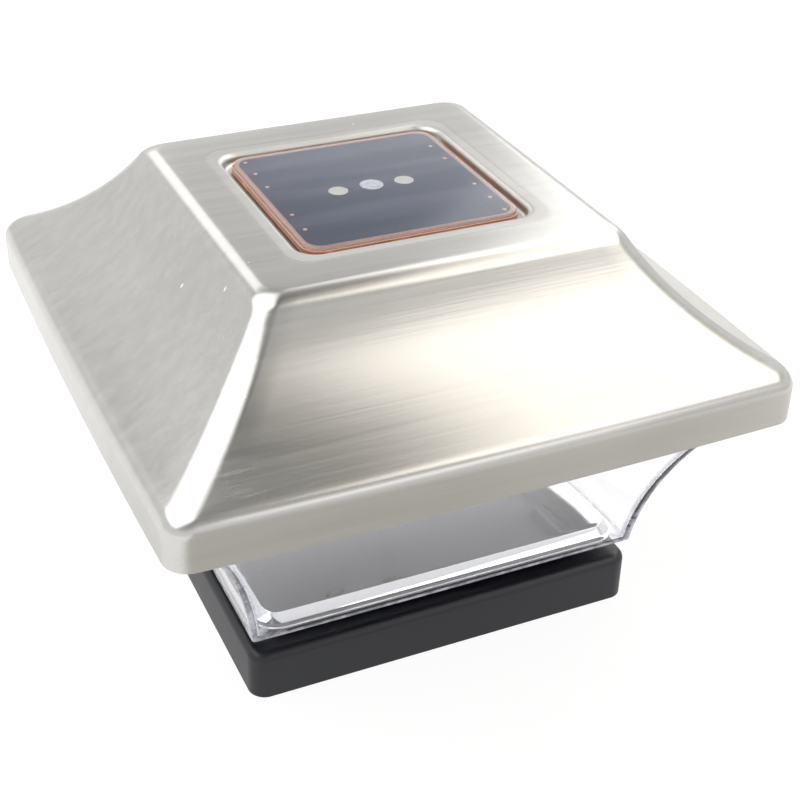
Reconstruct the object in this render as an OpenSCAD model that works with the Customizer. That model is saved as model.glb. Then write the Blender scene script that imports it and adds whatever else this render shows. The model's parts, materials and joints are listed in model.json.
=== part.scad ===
// Solar deck post cap light for a nominal 4x4 post, in millimetres.
// Z is up. The origin is the centre of the base's bottom rim.
// The base slips over the post, the clear lens stands on the base's neck,
// and the steel head with the solar panel stands on the lens.

/* [Base] */
// Outer width of the square skirt
base_w = 100; // [98:0.5:104]
// Height of the skirt, up to its top face
base_h = 12.9; // [12:0.1:20]
// Thickness of the skirt's walls
base_wall = 3; // [2:0.1:3.5]
// Radius of the skirt's upright corners
base_corner_r = 4.2; // [3.6:0.1:8]
// Radius of the skirt's rounded top edge
base_edge_r = 2.2; // [1:0.1:2.9]
// Thickness of the deck that lies on the post
deck_t = 2.5; // [2:0.1:4]
// Outer width of the neck that carries the lens
neck_w = 84; // [78:0.5:90]
// Height of the neck above the skirt
neck_h = 4.6; // [4.4:0.1:10]
// Thickness of the neck's wall
neck_wall = 2.5; // [1.6:0.1:3.4]
// Side of the post that the skirt fits over
post_w = 88.9; // [88:0.1:90]
// Room between the post and each rib
post_gap = 0.8; // [0.4:0.1:1.2]
// Width of a crush rib
rib_w = 2; // [1:0.1:4]
// Number of crush ribs on each inner side
rib_count = 3; // [2:1:5]
// Distance between neighbouring crush ribs
rib_pitch = 28; // [12:1:28]
// Distance between the fixing screws' holes, both ways
fixing_pitch = 60; // [40:1:66]
// Radius of a fixing screw's hole
fixing_r = 2.2; // [1.5:0.1:3]

/* [Lens] */
// Outer width of the lens at its foot
lens_w = 99.4; // [98:0.1:104]
// Height from the lens's foot to the top of its flange
lens_h = 47.9; // [40:0.1:54]
// Thickness of the lens's walls
lens_wall = 1.8; // [1.4:0.1:2.6]
// Thickness of the lens's floor
lens_floor_t = 1.1; // [1:0.1:2]
// Radius of the flared wall, seen in section
flare_r = 88; // [80:1:110]
// Angle of the wall from upright at its foot
flare_start = 6.1; // [3:0.1:8]
// Thickness of the flange round the lens's mouth
flange_t = 2; // [1.5:0.1:3]
// Room between the flange and the steel rim
flange_gap = 1.25; // [0.8:0.05:2]
// Radius of the lens's upright corners
lens_corner_r = 0.8; // [0.5:0.1:3]
// Width of a clip tongue under the lens
clip_w = 14; // [8:0.5:20]
// Thickness of a clip tongue
clip_t = 1.7; // [1.2:0.1:2.5]
// How far each tongue stands off the middle of its side
clip_shift = 4.35; // [0:0.05:10]
// Room round a clip tongue
clip_gap = 0.3; // [0.2:0.05:0.6]

/* [Reflector] */
// Width of the reflector's raised face
plate_w = 90; // [84:0.2:90.8]
// Height of the raised face above the lens's floor
plate_rise = 3; // [1.2:0.1:5]
// How far the reflector's sides spread on their way down
plate_spread = 1.6; // [0.4:0.1:2.4]
// Thickness of the reflector's sheet
plate_t = 0.5; // [0.4:0.1:0.9]
// Corner radius of the raised face
plate_corner_r = 4; // [3:0.1:9]
// Room between the reflector's flange and the lens's wall
plate_gap = 0.4; // [0.2:0.05:0.8]

/* [Steel cap] */
// Outer width of the cap's rim
cap_w = 149.9; // [146:0.1:156]
// Height from the rim's bottom edge to the plateau
cap_h = 39.6; // [38:0.1:48]
// Thickness of the steel sheet
cap_t = 0.7; // [0.5:0.05:1]
// How far the rim hangs below the lens's flange
rim_overlap = 1.8; // [1:0.1:4]
// Height of the upright part of the rim
rim_h = 7.8; // [7.2:0.1:12]
// Radius of the shoulder above the rim
shoulder_r = 5; // [3:0.1:7]
// Radius of the hollow faces, seen in section
face_r = 72.2; // [66:0.1:150]
// Width of the flat part of the plateau
plateau_w = 80; // [74:0.5:88]
// Radius of the plateau's rounded edge
plateau_edge_r = 5.7; // [3:0.1:8]
// Radius of the cap's upright corners and ridges
cap_corner_r = 5; // [4.5:0.1:9]

/* [Panel well] */
// Width of the well in the plateau
well_w = 56.6; // [55:0.2:62]
// Depth of the well
well_depth = 2.6; // [2.4:0.1:4]
// Radius of the well's lip
well_lip_r = 1.3; // [0.8:0.1:1.4]
// Radius between the well's wall and floor
well_fillet_r = 1; // [0.6:0.1:1]
// Width of the opening in the well's floor
well_hole_w = 40; // [30:1:46]

/* [Solar panel] */
// Width of the panel
panel_w = 53; // [50:0.2:56]
// Corner radius of the panel
panel_corner_r = 4.5; // [3:0.1:7]
// How far the foam tape stands in from the panel's edge
tape_inset = 0.5; // [0.2:0.1:1.5]
// Thickness of the foam tape under the panel
tape_t = 0.4; // [0.2:0.05:1]
// Thickness of the panel's board
board_t = 1.2; // [0.8:0.1:1.8]
// Thickness of the cells
cell_t = 0.2; // [0.15:0.05:0.4]
// Height of the clear epoxy above the board
epoxy_t = 0.9; // [0.7:0.05:1.5]
// How far the epoxy's edge stands in from the board's edge
epoxy_inset = 0.3; // [0.1:0.05:0.8]
// Width of the field of cells
field_w = 51.2; // [46:0.1:51.4]
// Number of cell strips
strip_count = 6; // [4:1:10]
// Gap between neighbouring strips
strip_gap = 0.25; // [0.15:0.05:0.6]
// Radius of a tinned joint disc
disc_r = 2.3; // [1.5:0.1:3]
// Distance from the centre to each joint disc
disc_offset = 8.35; // [7:0.05:12]
// Length of a joint disc's tab
disc_tab_l = 1.6; // [1:0.1:2]
// Radius of the window over the light sensor
window_r = 2.8; // [2.3:0.05:4]
// Radius of a copper dot
dot_r = 0.5; // [0.3:0.05:0.8]
// Distance from the field's edge to the column of dots beside it
dot_inset = 2.75; // [1:0.05:4]
// Distance from the field's corner edge to the dot near it
corner_dot_inset = 2.5; // [1:0.05:4]
// Distance between neighbouring dots
dot_pitch = 8; // [5:0.1:9]
// Thickness of the dots and joint discs
metal_t = 0.1; // [0.05:0.05:0.15]

/* [Housing] */
// Thickness of the housing's deck
housing_t = 2; // [1.5:0.1:3]
// Room between the housing and the steel rim
housing_gap = 0.3; // [0.2:0.05:0.5]
// Thickness of the housing's edge wall
edge_wall = 1.8; // [1.2:0.1:3]
// Outer width of the tower under the well
tower_w = 54.5; // [52:0.5:55]
// Radius of the tower's upright corners
tower_corner_r = 4; // [3:0.1:6]
// Thickness of the tower's wall
tower_wall = 2; // [1.5:0.1:2.5]
// Thickness of the foam ring between the tower and the cap
foam_t = 0.8; // [0.5:0.1:2]
// Length of a locating tab in the lens's mouth
tab_w = 40; // [20:1:60]
// Thickness of a locating tab
tab_t = 1.6; // [1:0.1:2.5]
// Height of a locating tab
tab_h = 3; // [2:0.1:4]
// Room between a locating tab and the lens
tab_gap = 0.4; // [0.3:0.05:0.8]
// Thickness of the seal on the lens's flange
seal_t = 0.6; // [0.4:0.1:2]
// Width of the seal
seal_w = 3; // [2:0.1:3.8]

/* [Circuit] */
// Width of the circuit board
circuit_w = 48; // [46:0.5:50]
// Thickness of the circuit board
circuit_t = 1.6; // [1:0.1:2]
// Height of the bosses that carry the circuit board
boss_h = 4; // [3.5:0.1:5]
// Radius of a boss
boss_r = 3; // [2.4:0.1:3.6]
// Distance between the board screws, both ways
board_screw_pitch = 40; // [36:0.5:41]
// Radius of a board screw's shank
board_screw_r = 1.1; // [0.8:0.05:1.4]
// Radius of a board screw's head
board_head_r = 2.2; // [1.8:0.1:2.6]
// Height of a board screw's head
board_head_h = 1.5; // [1:0.1:2]
// Length of a board screw's shank
board_screw_l = 5; // [3:0.1:6]
// Radius of an LED's body
led_r = 2.5; // [1.5:0.1:2.6]
// Length of an LED from its seat to its tip
led_l = 8.6; // [7.5:0.1:10]
// Distance between neighbouring LEDs, both ways
led_pitch = 18; // [14:0.5:22]
// How far the LEDs' middle stands in front of the centre
led_shift = 9; // [8:0.5:10]
// Room round an LED in the deck
led_gap = 0.25; // [0.2:0.05:0.5]
// Length of the driver chip
chip_l = 5; // [4:0.1:6]
// Width of the driver chip
chip_w = 4; // [3:0.1:4.5]
// Height of the driver chip
chip_h = 1.5; // [1:0.1:2]
// Distance from the board's centre to the chip, and to the inductor on the other side
chip_x = 9; // [8:0.1:11]
// How far the chip and the inductor stand behind the centre
chip_y = 3.5; // [3.5:0.1:5]
// Radius of the inductor's core
coil_r = 3.2; // [2.4:0.1:3.6]
// Height of the inductor
coil_h = 5.5; // [4:0.1:7]
// Radius of the capacitor
capacitor_r = 2.5; // [2:0.1:3]
// Height of the capacitor
capacitor_h = 6; // [4:0.1:8]
// Distance from the board's centre to the capacitor
capacitor_y = 15; // [13:0.1:18]
// Length of a resistor
resistor_l = 2; // [1.6:0.1:2.4]
// Distance between neighbouring resistors
resistor_pitch = 3; // [2:0.1:4]
// Radius of the light sensor
sensor_r = 2.6; // [2:0.05:2.7]
// Length of the light sensor
sensor_l = 2.6; // [2:0.1:4]

/* [Switch] */
// Length of the switch's body
switch_l = 8.6; // [8:0.1:12]
// Width of the switch's body
switch_w = 4.4; // [3.6:0.1:6]
// Distance from the board's centre to the switch
switch_y = 19; // [18:0.1:19.5]
// Travel of the slider
switch_travel = 3; // [1.5:0.1:3.5]
// Length of the slider's stem
slider_l = 2.4; // [1.5:0.1:3]
// Width of the slider's stem
slider_w = 1.6; // [1:0.1:2.4]
// How far the slider stands out under the deck
slider_reach = 1.2; // [0.5:0.1:2]
// Room round the slider
slider_gap = 0.3; // [0.2:0.05:0.5]

/* [Battery] */
// Radius of the bare cell
can_r = 7; // [5:0.05:7.2]
// Thickness of the cell's sleeve
sleeve_t = 0.22; // [0.15:0.01:0.3]
// Length of the cell with its nub
can_l = 50.5; // [43:0.5:52]
// Radius of the nub
nub_r = 2.75; // [2:0.05:3]
// Length of the nub
nub_l = 1.4; // [1:0.1:2]
// Distance from the lamp's centre to the cell's axis
bay_y = 42; // [40:0.2:44]
// Room round the cell in its bay
bay_gap = 0.3; // [0.3:0.05:0.8]
// Thickness of the bay's walls
bay_wall = 1.8; // [1.2:0.1:2.2]
// Thickness of the contact plates
contact_t = 0.5; // [0.3:0.05:0.8]
// Width of the contact plates
contact_w = 11; // [8:0.5:13]
// How far each contact's solder tag stands above the bay
tag_h = 2; // [1:0.1:3]
// Width of a solder tag
tag_w = 3; // [2:0.1:4]
// Height of the spring between its plate and the cell
spring_l = 5.4; // [4.5:0.1:8]
// Radius of the spring's wire
spring_wire_r = 0.35; // [0.25:0.05:0.4]
// Radius of the spring's widest turn
spring_r = 4.2; // [3.5:0.1:5]
// Radius of the spring's narrowest turn
spring_tip_r = 2.6; // [2:0.1:3]
// Number of turns of the spring
spring_turns = 3; // [2:0.5:4]

/* [Wires] */
// Radius of the wires' insulation
wire_r = 0.7; // [0.5:0.05:0.9]
// Distance from the centre line to each panel wire
panel_wire_x = 6; // [5:0.1:8]
// How far behind the centre the panel wires start
panel_wire_y = 14; // [12:0.1:17]
// How far the panel wires bow out
wire_bow = 3; // [1:0.1:5]
// How far the wires' bends reach
wire_pull = 12; // [8:0.1:14]
// Distance from the centre line to each hole for a battery wire
battery_wire_x = 18; // [15:0.1:20]
// Height of those holes above the battery bay
wire_hole_rise = 6; // [4:0.1:8]

/* [Hidden] */

$fn = 48;
fit = 0.05;      // play between a piece and the hole it was pushed into
seat = 0.3;      // gap between two pieces that almost touch
cut = 1;         // how far a cutting solid runs past the face it cuts
corner_steps = 5;
sides = [0, 90, 180, 270];
signs = [-1, 1];

// Heights, from the bottom up
base_half = base_w / 2;
deck_z = base_h - deck_t;
lens_z = base_h + neck_h;
floor_z = lens_z + lens_floor_t;
lens_top_z = lens_z + lens_h;
flange_z = lens_top_z - flange_t;
rim_z = flange_z - rim_overlap;
housing_z = lens_top_z + seal_t;
housing_top_z = housing_z + housing_t;
circuit_z = housing_top_z + boss_h;
circuit_top_z = circuit_z + circuit_t;
plateau_z = rim_z + cap_h;
well_z = plateau_z - well_depth;
tape_z = well_z;
board_z = tape_z + tape_t;
cell_z = board_z + board_t;
metal_z = cell_z + cell_t;
panel_top_z = cell_z + epoxy_t;
field_corner_r = panel_corner_r - (panel_w - field_w) / 2;

// Insides
socket_half = base_half - base_wall;
rib_depth = socket_half - post_w / 2 - post_gap;
neck_in = neck_w / 2 - neck_wall;
cap_half = cap_w / 2;
cap_in = cap_half - cap_t;
flange_half = cap_in - flange_gap;
flange_corner_r = cap_corner_r - cap_t - flange_gap;
housing_half = cap_in - housing_gap;
housing_corner_r = cap_corner_r - cap_t - housing_gap;
tower_in_w = tower_w - 2 * tower_wall;

// The lens's flared wall is an arc about this centre
flare_s = lens_w / 2 + flare_r * cos(flare_start);
flare_z = lens_z - flare_r * sin(flare_start);
flare_steps = 12;

// The cap's shoulder and plateau edge are arcs about these centres, and the hollow face is an arc that
// touches both from outside
shoulder_c = [cap_half - shoulder_r, rim_z + rim_h];
edge_c = [plateau_w / 2, plateau_z - plateau_edge_r];
face_c = far_corner(shoulder_c, face_r + shoulder_r, edge_c, face_r + plateau_edge_r);
face_low = atan2(face_c.y - shoulder_c.y, face_c.x - shoulder_c.x);
face_high = atan2(face_c.y - edge_c.y, face_c.x - edge_c.x);

// Battery bay, seen along the cell
cell_r = can_r + sleeve_t;
bay_half_w = cell_r + bay_gap;
cell_axis_z = housing_z + cell_r + seat;
bay_roof_z = cell_axis_z + cell_r + bay_gap;
bay_top_z = bay_roof_z + bay_wall;
bay_l = can_l + 2 * contact_t + spring_l + 2 * seat;
nub_tip_x = bay_l / 2 - contact_t - seat;
can_x = nub_tip_x - can_l;
spring_x = -bay_l / 2 + contact_t;

// Switch
switch_z = housing_top_z + seat;
switch_h = circuit_z - switch_z;
slider_top_z = switch_z + switch_h / 2;
slider_z = housing_z - slider_reach;
slot_l = slider_l + switch_travel + 2 * slider_gap;
slot_w = slider_w + 2 * slider_gap;

// Wires
wire_hole_z = bay_top_z + wire_hole_rise;
wire_end = [0, 0, 0.5];     // straight end of a wire, square to what it is soldered to
wire_hole_r = wire_r + 0.6;
wire_steps = 9;
wire_sides = 8;

// The crossing of two circles that lies further from the axis
function far_corner(a, ra, b, rb) =
    let (d = norm(b - a), u = (b - a) / d, n = [-u.y, u.x], t = (d * d + ra * ra - rb * rb) / (2 * d),
         h = sqrt(ra * ra - t * t))
    n.x > 0 ? a + t * u + h * n : a + t * u - h * n;

// Points on an arc about c, from angle a to angle b
function arc(c, r, a, b, steps) =
    [for (i = [0 : steps]) let (t = a + (b - a) * i / steps) c + r * [cos(t), sin(t)]];

function reversed(list) = [for (i = [len(list) - 1 : -1 : 0]) list[i]];

// One square ring with round corners: half its width, its height and its corner radius
function ring(half, z, r) =
    [for (q = [0 : 3], i = [0 : corner_steps])
        let (t = 90 * (q + i / corner_steps), c = half - r,
             sx = (q == 0 || q == 3) ? 1 : -1, sy = q < 2 ? 1 : -1)
        [sx * c + r * cos(t), sy * c + r * sin(t), z]];

// Faces between ring i and ring j, n points round, seen from outside
function band(i, j, n) =
    [for (k = [0 : n - 1]) [i * n + k, j * n + k, j * n + (k + 1) % n, i * n + (k + 1) % n]];

// A solid through square rings, closed by the first and the last ring
module ring_stack(rings) {
    n = len(rings[0]);
    m = len(rings);
    polyhedron(
        points = [for (r = rings, p = r) p],
        faces = concat(
            [[for (k = [0 : n - 1]) k]],
            [for (i = [0 : m - 2], f = band(i, i + 1, n)) f],
            [[for (k = [n - 1 : -1 : 0]) (m - 1) * n + k]]));
}

// A hollow solid through square rings, whose last ring meets the first
module ring_loop(rings) {
    n = len(rings[0]);
    m = len(rings);
    polyhedron(
        points = [for (r = rings, p = r) p],
        faces = [for (i = [0 : m - 1], f = band(i, (i + 1) % m, n)) f]);
}

module rounded_square(w, r) {
    square([w, w - 2 * r], center = true);
    square([w - 2 * r, w], center = true);
    for (x = signs, y = signs) translate([x, y] * (w / 2 - r)) circle(r);
}

module slab(w, r, z, h) {
    translate([0, 0, z]) linear_extrude(h) rounded_square(w, r);
}

module frame_slab(w, r, inner_w, inner_r, z, h) {
    translate([0, 0, z]) linear_extrude(h) difference() {
        rounded_square(w, r);
        rounded_square(inner_w, inner_r);
    }
}

// A block standing on z, centred on x and y
module block(x, y, z, size) {
    translate([x - size.x / 2, y - size.y / 2, z]) cube(size);
}

module at_corners(pitch) {
    for (x = signs, y = signs) translate([x, y, 0] * pitch / 2) children();
}

module rod(r, z, h) {
    translate([0, 0, z]) cylinder(r = r, h = h);
}

// A cylinder along X, on the cell's axis
module cell_rod(r, x, l) {
    translate([x, -bay_y, cell_axis_z]) rotate([0, 90, 0]) cylinder(r = r, h = l);
}

// Points on a curve pulled by four control points
function bezier(p, steps) =
    [for (i = [0 : steps]) let (t = i / steps, s = 1 - t)
        s * s * s * p[0] + 3 * s * s * t * p[1] + 3 * s * t * t * p[2] + t * t * t * p[3]];

function unit(v) = v / norm(v);
function heading(path, i) =
    unit(path[min(i + 1, len(path) - 1)] - path[max(i - 1, 0)]);

// A round tube of n sides along a path; side_dir is a direction that the path never takes
module tube(path, r, n, side_dir) {
    m = len(path);
    points = [for (i = [0 : m - 1])
        let (t = heading(path, i), u = unit(cross(side_dir, t)), v = cross(t, u))
        for (k = [0 : n - 1]) path[i] + r * (cos(360 * k / n) * u + sin(360 * k / n) * v)];
    polyhedron(
        points = points,
        faces = concat(
            [[for (k = [0 : n - 1]) k]],
            [for (i = [0 : m - 2], k = [0 : n - 1])
                [i * n + k, (i + 1) * n + k, (i + 1) * n + (k + 1) % n]],
            [for (i = [0 : m - 2], k = [0 : n - 1])
                [i * n + k, (i + 1) * n + (k + 1) % n, i * n + (k + 1) % n]],
            [[for (k = [n - 1 : -1 : 0]) (m - 1) * n + k]]));
}

// Skirt over the post, deck that lies on it, and neck under the lens
module base() {
    color("#3c3c40") difference() {
        union() {
            ring_stack(concat(
                [ring(base_half, 0, base_corner_r)],
                [for (p = arc([base_half - base_edge_r, base_h - base_edge_r], base_edge_r, 0, 90, 4))
                    ring(p.x, p.y, base_corner_r - base_half + p.x)]));
            frame_slab(neck_w, base_corner_r, 2 * neck_in, base_corner_r - neck_wall,
                       base_h, neck_h);
        }
        difference() {
            slab(2 * socket_half, base_corner_r - base_wall, -cut, deck_z + cut);
            for (a = sides, i = [0 : rib_count - 1])
                rotate(a) block((i - (rib_count - 1) / 2) * rib_pitch, socket_half - rib_depth / 2,
                                -2 * cut, [rib_w, rib_depth, deck_z + 3 * cut]);
        }
        at_corners(fixing_pitch) rod(fixing_r, deck_z - cut, deck_t + 2 * cut);
    }
}

// Clear flared bowl with a floor, a flange round its mouth and four clip tongues inside the neck
module lens() {
    top_r = flare_r + lens_wall;
    outer_end = asin((flange_z - flare_z) / flare_r);
    inner_start = asin((lens_top_z - flare_z) / top_r);
    inner_end = asin((floor_z - flare_z) / top_r);
    outer = arc([flare_s, flare_z], flare_r, 180 - flare_start, 180 - outer_end, flare_steps);
    inner = arc([flare_s, flare_z], top_r, 180 - inner_start, 180 - inner_end, flare_steps);
    tongue_h = neck_h - 2 * seat;
    color("#e4eaf2", 0.3) {
        ring_stack(concat(
            [for (p = outer) ring(p.x, p.y, lens_corner_r)],
            [ring(flange_half, flange_z, flange_corner_r),
             ring(flange_half, lens_top_z, flange_corner_r)],
            [for (p = inner) ring(p.x, p.y, lens_corner_r / 2)]));
        for (a = sides) rotate(a)
            block(-clip_shift, neck_in - clip_gap - clip_t / 2, lens_z - tongue_h,
                  [clip_w, clip_t, tongue_h + lens_floor_t / 2]);
    }
}

// Half the width between the lens's walls at a height
function mouth_half(z) =
    flare_s - sqrt(pow(flare_r + lens_wall, 2) - pow(z - flare_z, 2));

// Bright formed sheet on the lens's floor
module reflector_plate() {
    top_half = plate_w / 2;
    foot_half = top_half + plate_spread;
    edge_half = mouth_half(floor_z) - plate_gap;
    foot_r = plate_corner_r + plate_spread;
    edge_r = plate_corner_r + edge_half - top_half;
    top_z = floor_z + plate_rise;
    color("#c8c8cc") ring_stack([
        ring(top_half - plate_t, top_z - plate_t, plate_corner_r - plate_t),
        ring(foot_half - plate_t, floor_z, foot_r - plate_t),
        ring(edge_half, floor_z, edge_r),
        ring(edge_half, floor_z + plate_t, edge_r),
        ring(foot_half, floor_z + plate_t, foot_r),
        ring(top_half, top_z, plate_corner_r)]);
}

// Soft ring on the lens's flange, under the housing's edge
module lens_seal() {
    w = 2 * flange_half;
    color("#56565a")
        frame_slab(w, flange_corner_r, w - 2 * seal_w, flange_corner_r / 2, lens_top_z, seal_t);
}

// Deck under the steel cap, with edge wall, tower, battery bay, bosses and locating tabs
module housing() {
    tower_h = well_z - cap_t - foam_t - housing_top_z;
    edge_h = rim_z + rim_h - seat - housing_top_z;
    bay_w = 2 * (bay_half_w + bay_wall);
    color("#c4c4c8") difference() {
        union() {
            slab(2 * housing_half, housing_corner_r, housing_z, housing_t);
            frame_slab(2 * housing_half, housing_corner_r, 2 * (housing_half - edge_wall),
                       housing_corner_r - edge_wall, housing_top_z - cut, edge_h + cut);
            frame_slab(tower_w, tower_corner_r, tower_in_w, tower_corner_r - tower_wall,
                       housing_top_z - cut, tower_h + cut);
            block(0, -bay_y, housing_z, [bay_l + 2 * bay_wall, bay_w, bay_top_z - housing_z]);
            at_corners(board_screw_pitch) rod(boss_r, housing_top_z - cut, boss_h + cut);
            for (a = sides) rotate(a)
                block(0, mouth_half(lens_top_z - tab_h) - tab_gap - tab_t / 2, lens_top_z - tab_h,
                      [tab_w, tab_t, tab_h + seal_t + housing_t / 2]);
        }
        block(0, -bay_y, housing_z - cut, [bay_l, 2 * bay_half_w, bay_roof_z - housing_z + cut]);
        for (x = signs)
            block(x * (bay_l - contact_t) / 2, -bay_y, bay_roof_z - cut,
                  [contact_t + 2 * fit, tag_w + 2 * fit, bay_wall + 2 * cut]);
        at_corners(board_screw_pitch)
            rod(board_screw_r + fit, housing_top_z - housing_t / 2, boss_h + housing_t);
        translate([0, -led_shift, 0])
            at_corners(led_pitch) rod(led_r + led_gap, housing_z - cut, housing_t + 2 * cut);
        block(0, -switch_y, housing_z - cut, [slot_l, slot_w, housing_t + 2 * cut]);
        for (x = signs) translate([x * battery_wire_x, -tower_in_w / 2 + cut, wire_hole_z])
            rotate([90, 0, 0]) cylinder(r = wire_hole_r, h = tower_wall + 2 * cut);
    }
}

// Foam between the tower's top and the underside of the well
module cap_foam_ring() {
    color("#2c2c2e")
        frame_slab(tower_w, tower_corner_r, tower_in_w, tower_corner_r - tower_wall,
                   well_z - cap_t - foam_t, foam_t);
}

// One skin of the steel cap, from the rim to the well's opening; d is its depth below the outer skin
function cap_skin(d) = concat(
    [[cap_half - d, rim_z]],
    arc(shoulder_c, shoulder_r - d, 0, face_low, 4),
    arc(face_c, face_r + d, 180 + face_low, 180 + face_high, 8),
    arc(edge_c, plateau_edge_r - d, face_high, 90, 4),
    arc([well_w / 2 + well_lip_r, plateau_z - well_lip_r], well_lip_r - d, 90, 180, 3),
    arc([well_w / 2 - well_fillet_r, well_z + well_fillet_r], well_fillet_r + d, 0, -90, 3),
    [[well_hole_w / 2, well_z - d]]);

// Pressed stainless cap: upright rim, hollow faces, plateau and well
module steel_cap() {
    outer = cap_skin(0);
    inner = cap_skin(cap_t);
    color("#c9c6c0") ring_loop(concat(
        [for (p = outer) ring(p.x, p.y, cap_corner_r)],
        [for (i = [len(outer) - 1 : -1 : 0])
            ring(inner[i].x, inner[i].y, cap_corner_r - outer[i].x + inner[i].x)]));
}

// Foam tape between the well's floor and the panel
module panel_tape() {
    color("#1c1c1e")
        frame_slab(panel_w - 2 * tape_inset, panel_corner_r - tape_inset, well_hole_w + 2 * tape_inset,
                   cap_corner_r - tape_inset, tape_z, tape_t);
}

// Panel board, with a hole for the light sensor
module solar_board() {
    color("#a8603c") difference() {
        slab(panel_w, panel_corner_r, board_z, board_t);
        rod(window_r + fit, board_z - cut, board_t + 2 * cut);
    }
}

// Silicon strips, side by side
module solar_cells() {
    strip_w = (field_w - (strip_count - 1) * strip_gap) / strip_count;
    color("#59627a") difference() {
        intersection() {
            for (i = [0 : strip_count - 1])
                block(0, (i - (strip_count - 1) / 2) * (strip_w + strip_gap), cell_z,
                      [field_w, strip_w, cell_t]);
            slab(field_w, field_corner_r, cell_z - cut, cell_t + 2 * cut);
        }
        rod(window_r + fit, cell_z - cut, cell_t + 2 * cut);
    }
}

// Tinned joints on both sides of the sensor window, each with a tab towards it
module joint_discs() {
    color("#dcdcdc") for (a = [0, 180]) rotate(a) {
        translate([disc_offset, 0, 0]) rod(disc_r, metal_z, metal_t);
        block(disc_offset - disc_r - disc_tab_l / 3, 0, metal_z, [disc_tab_l, disc_r / 2, metal_t]);
    }
}

// Copper dots down two sides: four evenly placed ones and one by the corner
module copper_dots() {
    color("#c07a50") for (a = [0, 180]) rotate(a) translate([field_w / 2 - dot_inset, 0, 0]) {
        for (i = [-2, -1, 1, 2]) translate([0, i * dot_pitch, 0]) rod(dot_r, metal_z, metal_t);
        translate([0, corner_dot_inset - field_w / 2, 0]) rod(dot_r, metal_z, metal_t);
    }
}

// Clear epoxy cast over the cells, with a pocket that they fill
module panel_epoxy() {
    pocket_h = cell_t + metal_t + fit;
    color("#c8d4e4", 0.4) difference() {
        slab(panel_w - 2 * epoxy_inset, panel_corner_r - epoxy_inset, cell_z, epoxy_t);
        slab(field_w + 2 * fit, field_corner_r + fit, cell_z - cut, pocket_h + cut);
        rod(window_r + fit, cell_z - cut, epoxy_t + 2 * cut);
    }
}

module sensor_window() {
    color("#aab4c4", 0.6) rod(window_r, board_z + board_t / 5, panel_top_z - board_z - board_t / 5);
}

module light_sensor() {
    color("#6a3c28") rod(sensor_r, board_z + board_t / 5 - sensor_l, sensor_l);
}

// Driver board on the housing's bosses
module circuit_board() {
    color("#1f6b3a") difference() {
        slab(circuit_w, 2, circuit_z, circuit_t);
        at_corners(board_screw_pitch)
            rod(board_screw_r + seat, circuit_z - cut, circuit_t + 2 * cut);
    }
}

module board_screws() {
    recess = board_head_h / 2;
    color("#b8b8bc") at_corners(board_screw_pitch) difference() {
        union() {
            rod(board_head_r, circuit_top_z, board_head_h);
            rod(board_screw_r, circuit_top_z - board_screw_l, board_screw_l + board_head_h / 2);
        }
        for (a = [0, 90]) rotate(a)
            block(0, 0, circuit_top_z + recess, [board_head_r * 1.3, board_head_r / 4, board_head_h]);
    }
}

// White LEDs that shine down through the deck
module leds() {
    foot_t = 1;
    foot_r = led_r + 0.4;
    color("#f4f4e8") translate([0, -led_shift, 0]) at_corners(led_pitch) {
        rod(foot_r, circuit_z - foot_t, foot_t);
        rod(led_r, circuit_z - led_l + led_r, led_l - led_r);
        translate([0, 0, circuit_z - led_l + led_r]) sphere(led_r);
    }
}

module driver_chip() {
    leg_pitch = chip_l / 4;
    leg = [chip_l / 10, chip_w / 4, chip_h / 2];
    color("#18181a") block(-chip_x, chip_y, circuit_top_z, [chip_l, chip_w, chip_h]);
    color("#c0c0c0") for (x = [-1.5, -0.5, 0.5, 1.5], y = signs)
        block(-chip_x + leg_pitch * x, chip_y + y * ((chip_w + leg.y) / 2 - fit), circuit_top_z, leg);
}

// Drum core with its winding
module inductor() {
    end_t = coil_h / 5;
    color("#2e2e32") translate([chip_x, chip_y, 0]) {
        rod(coil_r, circuit_top_z, end_t);
        rod(0.8 * coil_r, circuit_top_z, coil_h);
        rod(coil_r, circuit_top_z + coil_h - end_t, end_t);
    }
}

// Small resistors and capacitors
module board_parts() {
    color("#8a7a5a") for (i = [0 : 2])
        block(i * resistor_pitch - chip_x, -chip_y, circuit_top_z,
              [0.6 * resistor_l, resistor_l, 0.3 * resistor_l]);
    color("#2a4a7a") translate([0, capacitor_y, 0]) rod(capacitor_r, circuit_top_z, capacitor_h);
}

// Slide switch under the circuit board
module switch_body() {
    color("#b4b4b8") difference() {
        block(0, -switch_y, switch_z, [switch_l, switch_w, switch_h]);
        block(0, -switch_y, switch_z - cut, [slot_l, slot_w, switch_h / 2 + slider_gap + cut]);
    }
}

// The slider rests at one end of its travel
module switch_slider() {
    color("#1a1a1c") block(-switch_travel / 2, -switch_y, slider_z,
                           [slider_l, slider_w, slider_top_z - slider_z]);
}

module battery_cell() {
    color("#b0b0b4") {
        cell_rod(can_r, can_x, can_l - nub_l);
        cell_rod(nub_r, can_x + can_l - nub_l - cut, nub_l + cut);
    }
}

module battery_sleeve() {
    color("#3a7a4a") difference() {
        cell_rod(cell_r, can_x, can_l - nub_l);
        cell_rod(can_r + fit / 2, can_x - cut, can_l - nub_l + 2 * cut);
    }
}

// A sprung steel plate on one end wall of the bay, with its solder tag; side is -1 or 1
module bay_contact(side) {
    x = side * (bay_l - contact_t) / 2;
    plate_h = 2 * can_r - 2;
    color("#c8c8c4") {
        block(x, -bay_y, bay_roof_z - seat - plate_h, [contact_t, contact_w, plate_h]);
        block(x, -bay_y, bay_roof_z - 2 * cut, [contact_t, tag_w, bay_wall + tag_h + 2 * cut]);
    }
}

module spring_plate() {
    bay_contact(-1);
}

module contact_plate() {
    bay_contact(1);
}

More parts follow.
